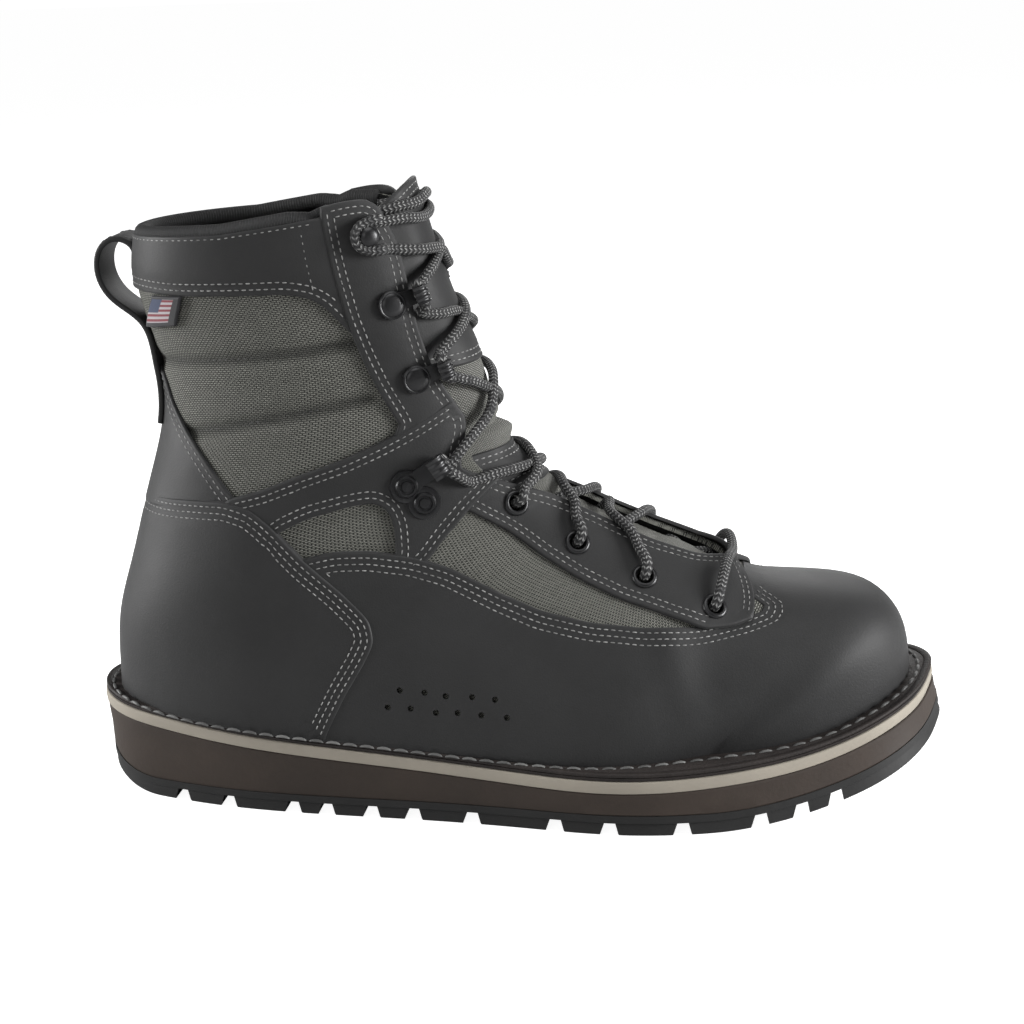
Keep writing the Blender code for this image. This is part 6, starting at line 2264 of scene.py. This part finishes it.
class BOOT_OT_lace(Operator):
    """Braided lace through the eyelets and round the hooks"""

    bl_idname = "boot.lace"
    bl_label = "Lace"

    def execute(self, context):
        radius = context.scene.boot_sizes.lace / MM / 2
        outer = lace_end(-1.0)
        inner = lace_end(1.0)
        route = smooth_route(inner[::-1] + outer[1:], 1.1)
        for _ in range(7):
            route[1:-1] = route[1:-1] * 0.5 + (route[:-2] + route[2:]) * 0.25
        frames = carried_frames(route, (0.0, 0.0, 1.0))
        lace = swept("braided_lace_cord", route, frames, round_outline(radius, 14, 0.94),
                     lace_look(), uv=True)
        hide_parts("lace")
        return {"FINISHED"}


# The floor's half width and its drop under the sole in metres, its own light for the
# camera alone, and the strength of the surroundings
FLOOR_HALF = 150.0
FLOOR_GAP = 0.0002
FLOOR_GLOW = 0.93
WORLD_POWER = 0.10


class BOOT_OT_stage(Operator):
    """Pale floor, soft studio lights and the photograph's camera"""

    bl_idname = "boot.stage"
    bl_label = "Stage"

    def execute(self, context):
        self.floor()
        self.world(context)
        self.lights()
        self.camera(context)
        context.scene.view_settings.view_transform = "Standard"
        return {"FINISHED"}

    def floor(self):
        """White floor that runs far past the picture."""
        mesh = bpy.data.meshes.new("floor")
        half = FLOOR_HALF
        mesh.from_pydata([(-half, -half, 0), (half, -half, 0), (half, half, 0), (-half, half, 0)],
                         [], [(0, 1, 2, 3)])
        made, tree, bsdf = shader("pale_floor")
        tone = blend(tree, noise(tree, object_place(tree), 3.0), (0.60, 0.60, 0.60),
                     (0.62, 0.62, 0.62))
        seen = node(tree, "ShaderNodeLightPath").outputs["Is Camera Ray"]
        put(tree, bsdf, {"Base Color": tone, "Roughness": 1.0, "Specular IOR Level": 0.0,
                         "Emission Color": (1.0, 1.0, 1.0),
                         "Emission Strength": maths(tree, "MULTIPLY", seen, FLOOR_GLOW)})
        mesh.materials.append(made)
        piece = bpy.data.objects.new("floor", mesh)
        piece.location.z = -FLOOR_GAP
        bpy.context.scene.collection.objects.link(piece)

    def world(self, context):
        """Even white surroundings."""
        world = bpy.data.worlds.new("studio")
        world.use_nodes = True
        back = world.node_tree.nodes["Background"]
        back.inputs[0].default_value = (1.0, 1.0, 1.0, 1.0)
        seen = node(world.node_tree, "ShaderNodeLightPath").outputs["Is Camera Ray"]
        power = maths(world.node_tree, "MULTIPLY_ADD", seen, 1.0, WORLD_POWER)
        world.node_tree.links.new(power, back.inputs[1])
        context.scene.world = world

    def lights(self):
        """Large soft lamps: above, at the front left and behind at the right."""
        plan = (
            ("top_light", (0.1, -0.2, 1.5), (0.0, 0.0, 0.1), 1.2, 11.0),
            ("front_light", (-0.5, -1.8, 0.9), (0.0, 0.0, 0.1), 1.2, 7.0),
            ("toe_light", (1.5, -0.25, 0.45), (0.10, 0.0, 0.06), 0.7, 42.0),
            ("heel_light", (-1.5, -0.1, 0.45), (-0.1, 0.0, 0.10), 0.7, 30.0),
            ("back_light", (0.2, 1.5, 0.8), (0.0, 0.0, 0.1), 1.0, 8.0),
        )
        for name, place, aim, size, power in plan:
            lamp = bpy.data.lights.new(name, "AREA")
            lamp.shape = "DISK"
            lamp.size = size
            lamp.energy = power
            made = bpy.data.objects.new(name, lamp)
            made.location = place
            way = Vector(aim) - Vector(place)
            made.rotation_euler = way.to_track_quat("-Z", "Y").to_euler()
            bpy.context.scene.collection.objects.link(made)

    def camera(self, context):
        """Camera at the photograph's place, rolled as it was."""
        lens = bpy.data.cameras.new("camera")
        lens.lens = CAMERA_LENS
        lens.sensor_width = 36.0
        lens.clip_start = 0.01
        made = bpy.data.objects.new("camera", lens)
        yaw, pitch, roll = (math.radians(a) for a in (CAMERA_YAW, CAMERA_PITCH, CAMERA_ROLL))
        ahead = Vector((math.sin(yaw) * math.cos(pitch), math.cos(yaw) * math.cos(pitch),
                        -math.sin(pitch)))
        right = Vector((math.cos(yaw), -math.sin(yaw), 0.0))
        up = right.cross(ahead)
        side = right * math.cos(roll) + up * math.sin(roll)
        top = up * math.cos(roll) - right * math.sin(roll)
        turn = Matrix((side, top, -ahead)).transposed()
        made.matrix_world = Matrix.Translation(to_frame([CAMERA_PLACE])[0]) @ turn.to_4x4()
        context.scene.collection.objects.link(made)
        context.scene.camera = made


class BOOT_PT_panel(Panel):
    """Buttons that build the boot's finishes"""

    bl_label = "Wading boot"
    bl_idname = "BOOT_PT_panel"
    bl_space_type = "VIEW_3D"
    bl_region_type = "UI"
    bl_category = "Boot"

    def draw(self, context):
        column = self.layout.column()
        for step in STEPS:
            column.operator(step)


STEPS = ("boot.stage", "boot.upper", "boot.panels", "boot.tongue", "boot.collar", "boot.label",
         "boot.sole", "boot.welt", "boot.hardware", "boot.lace")
CLASSES = (BootSizes, BootColours, BOOT_OT_stage, BOOT_OT_upper, BOOT_OT_panels,
           BOOT_OT_tongue, BOOT_OT_collar, BOOT_OT_label, BOOT_OT_sole, BOOT_OT_welt,
           BOOT_OT_hardware, BOOT_OT_lace, BOOT_PT_panel)


def register():
    """Register the classes and hang the settings on the scene."""
    for item in CLASSES:
        bpy.utils.register_class(item)
    bpy.types.Scene.boot_sizes = PointerProperty(type=BootSizes)
    bpy.types.Scene.boot_colours = PointerProperty(type=BootColours)


def unregister():
    """Take the settings and classes away again."""
    del bpy.types.Scene.boot_colours
    del bpy.types.Scene.boot_sizes
    for item in reversed(CLASSES):
        bpy.utils.unregister_class(item)


def main():
    """Register the classes and build every piece in order."""
    register()
    for step in STEPS:
        area, name = step.split(".")
        getattr(getattr(bpy.ops, area), name)()


if __name__ == "__main__":
    main()
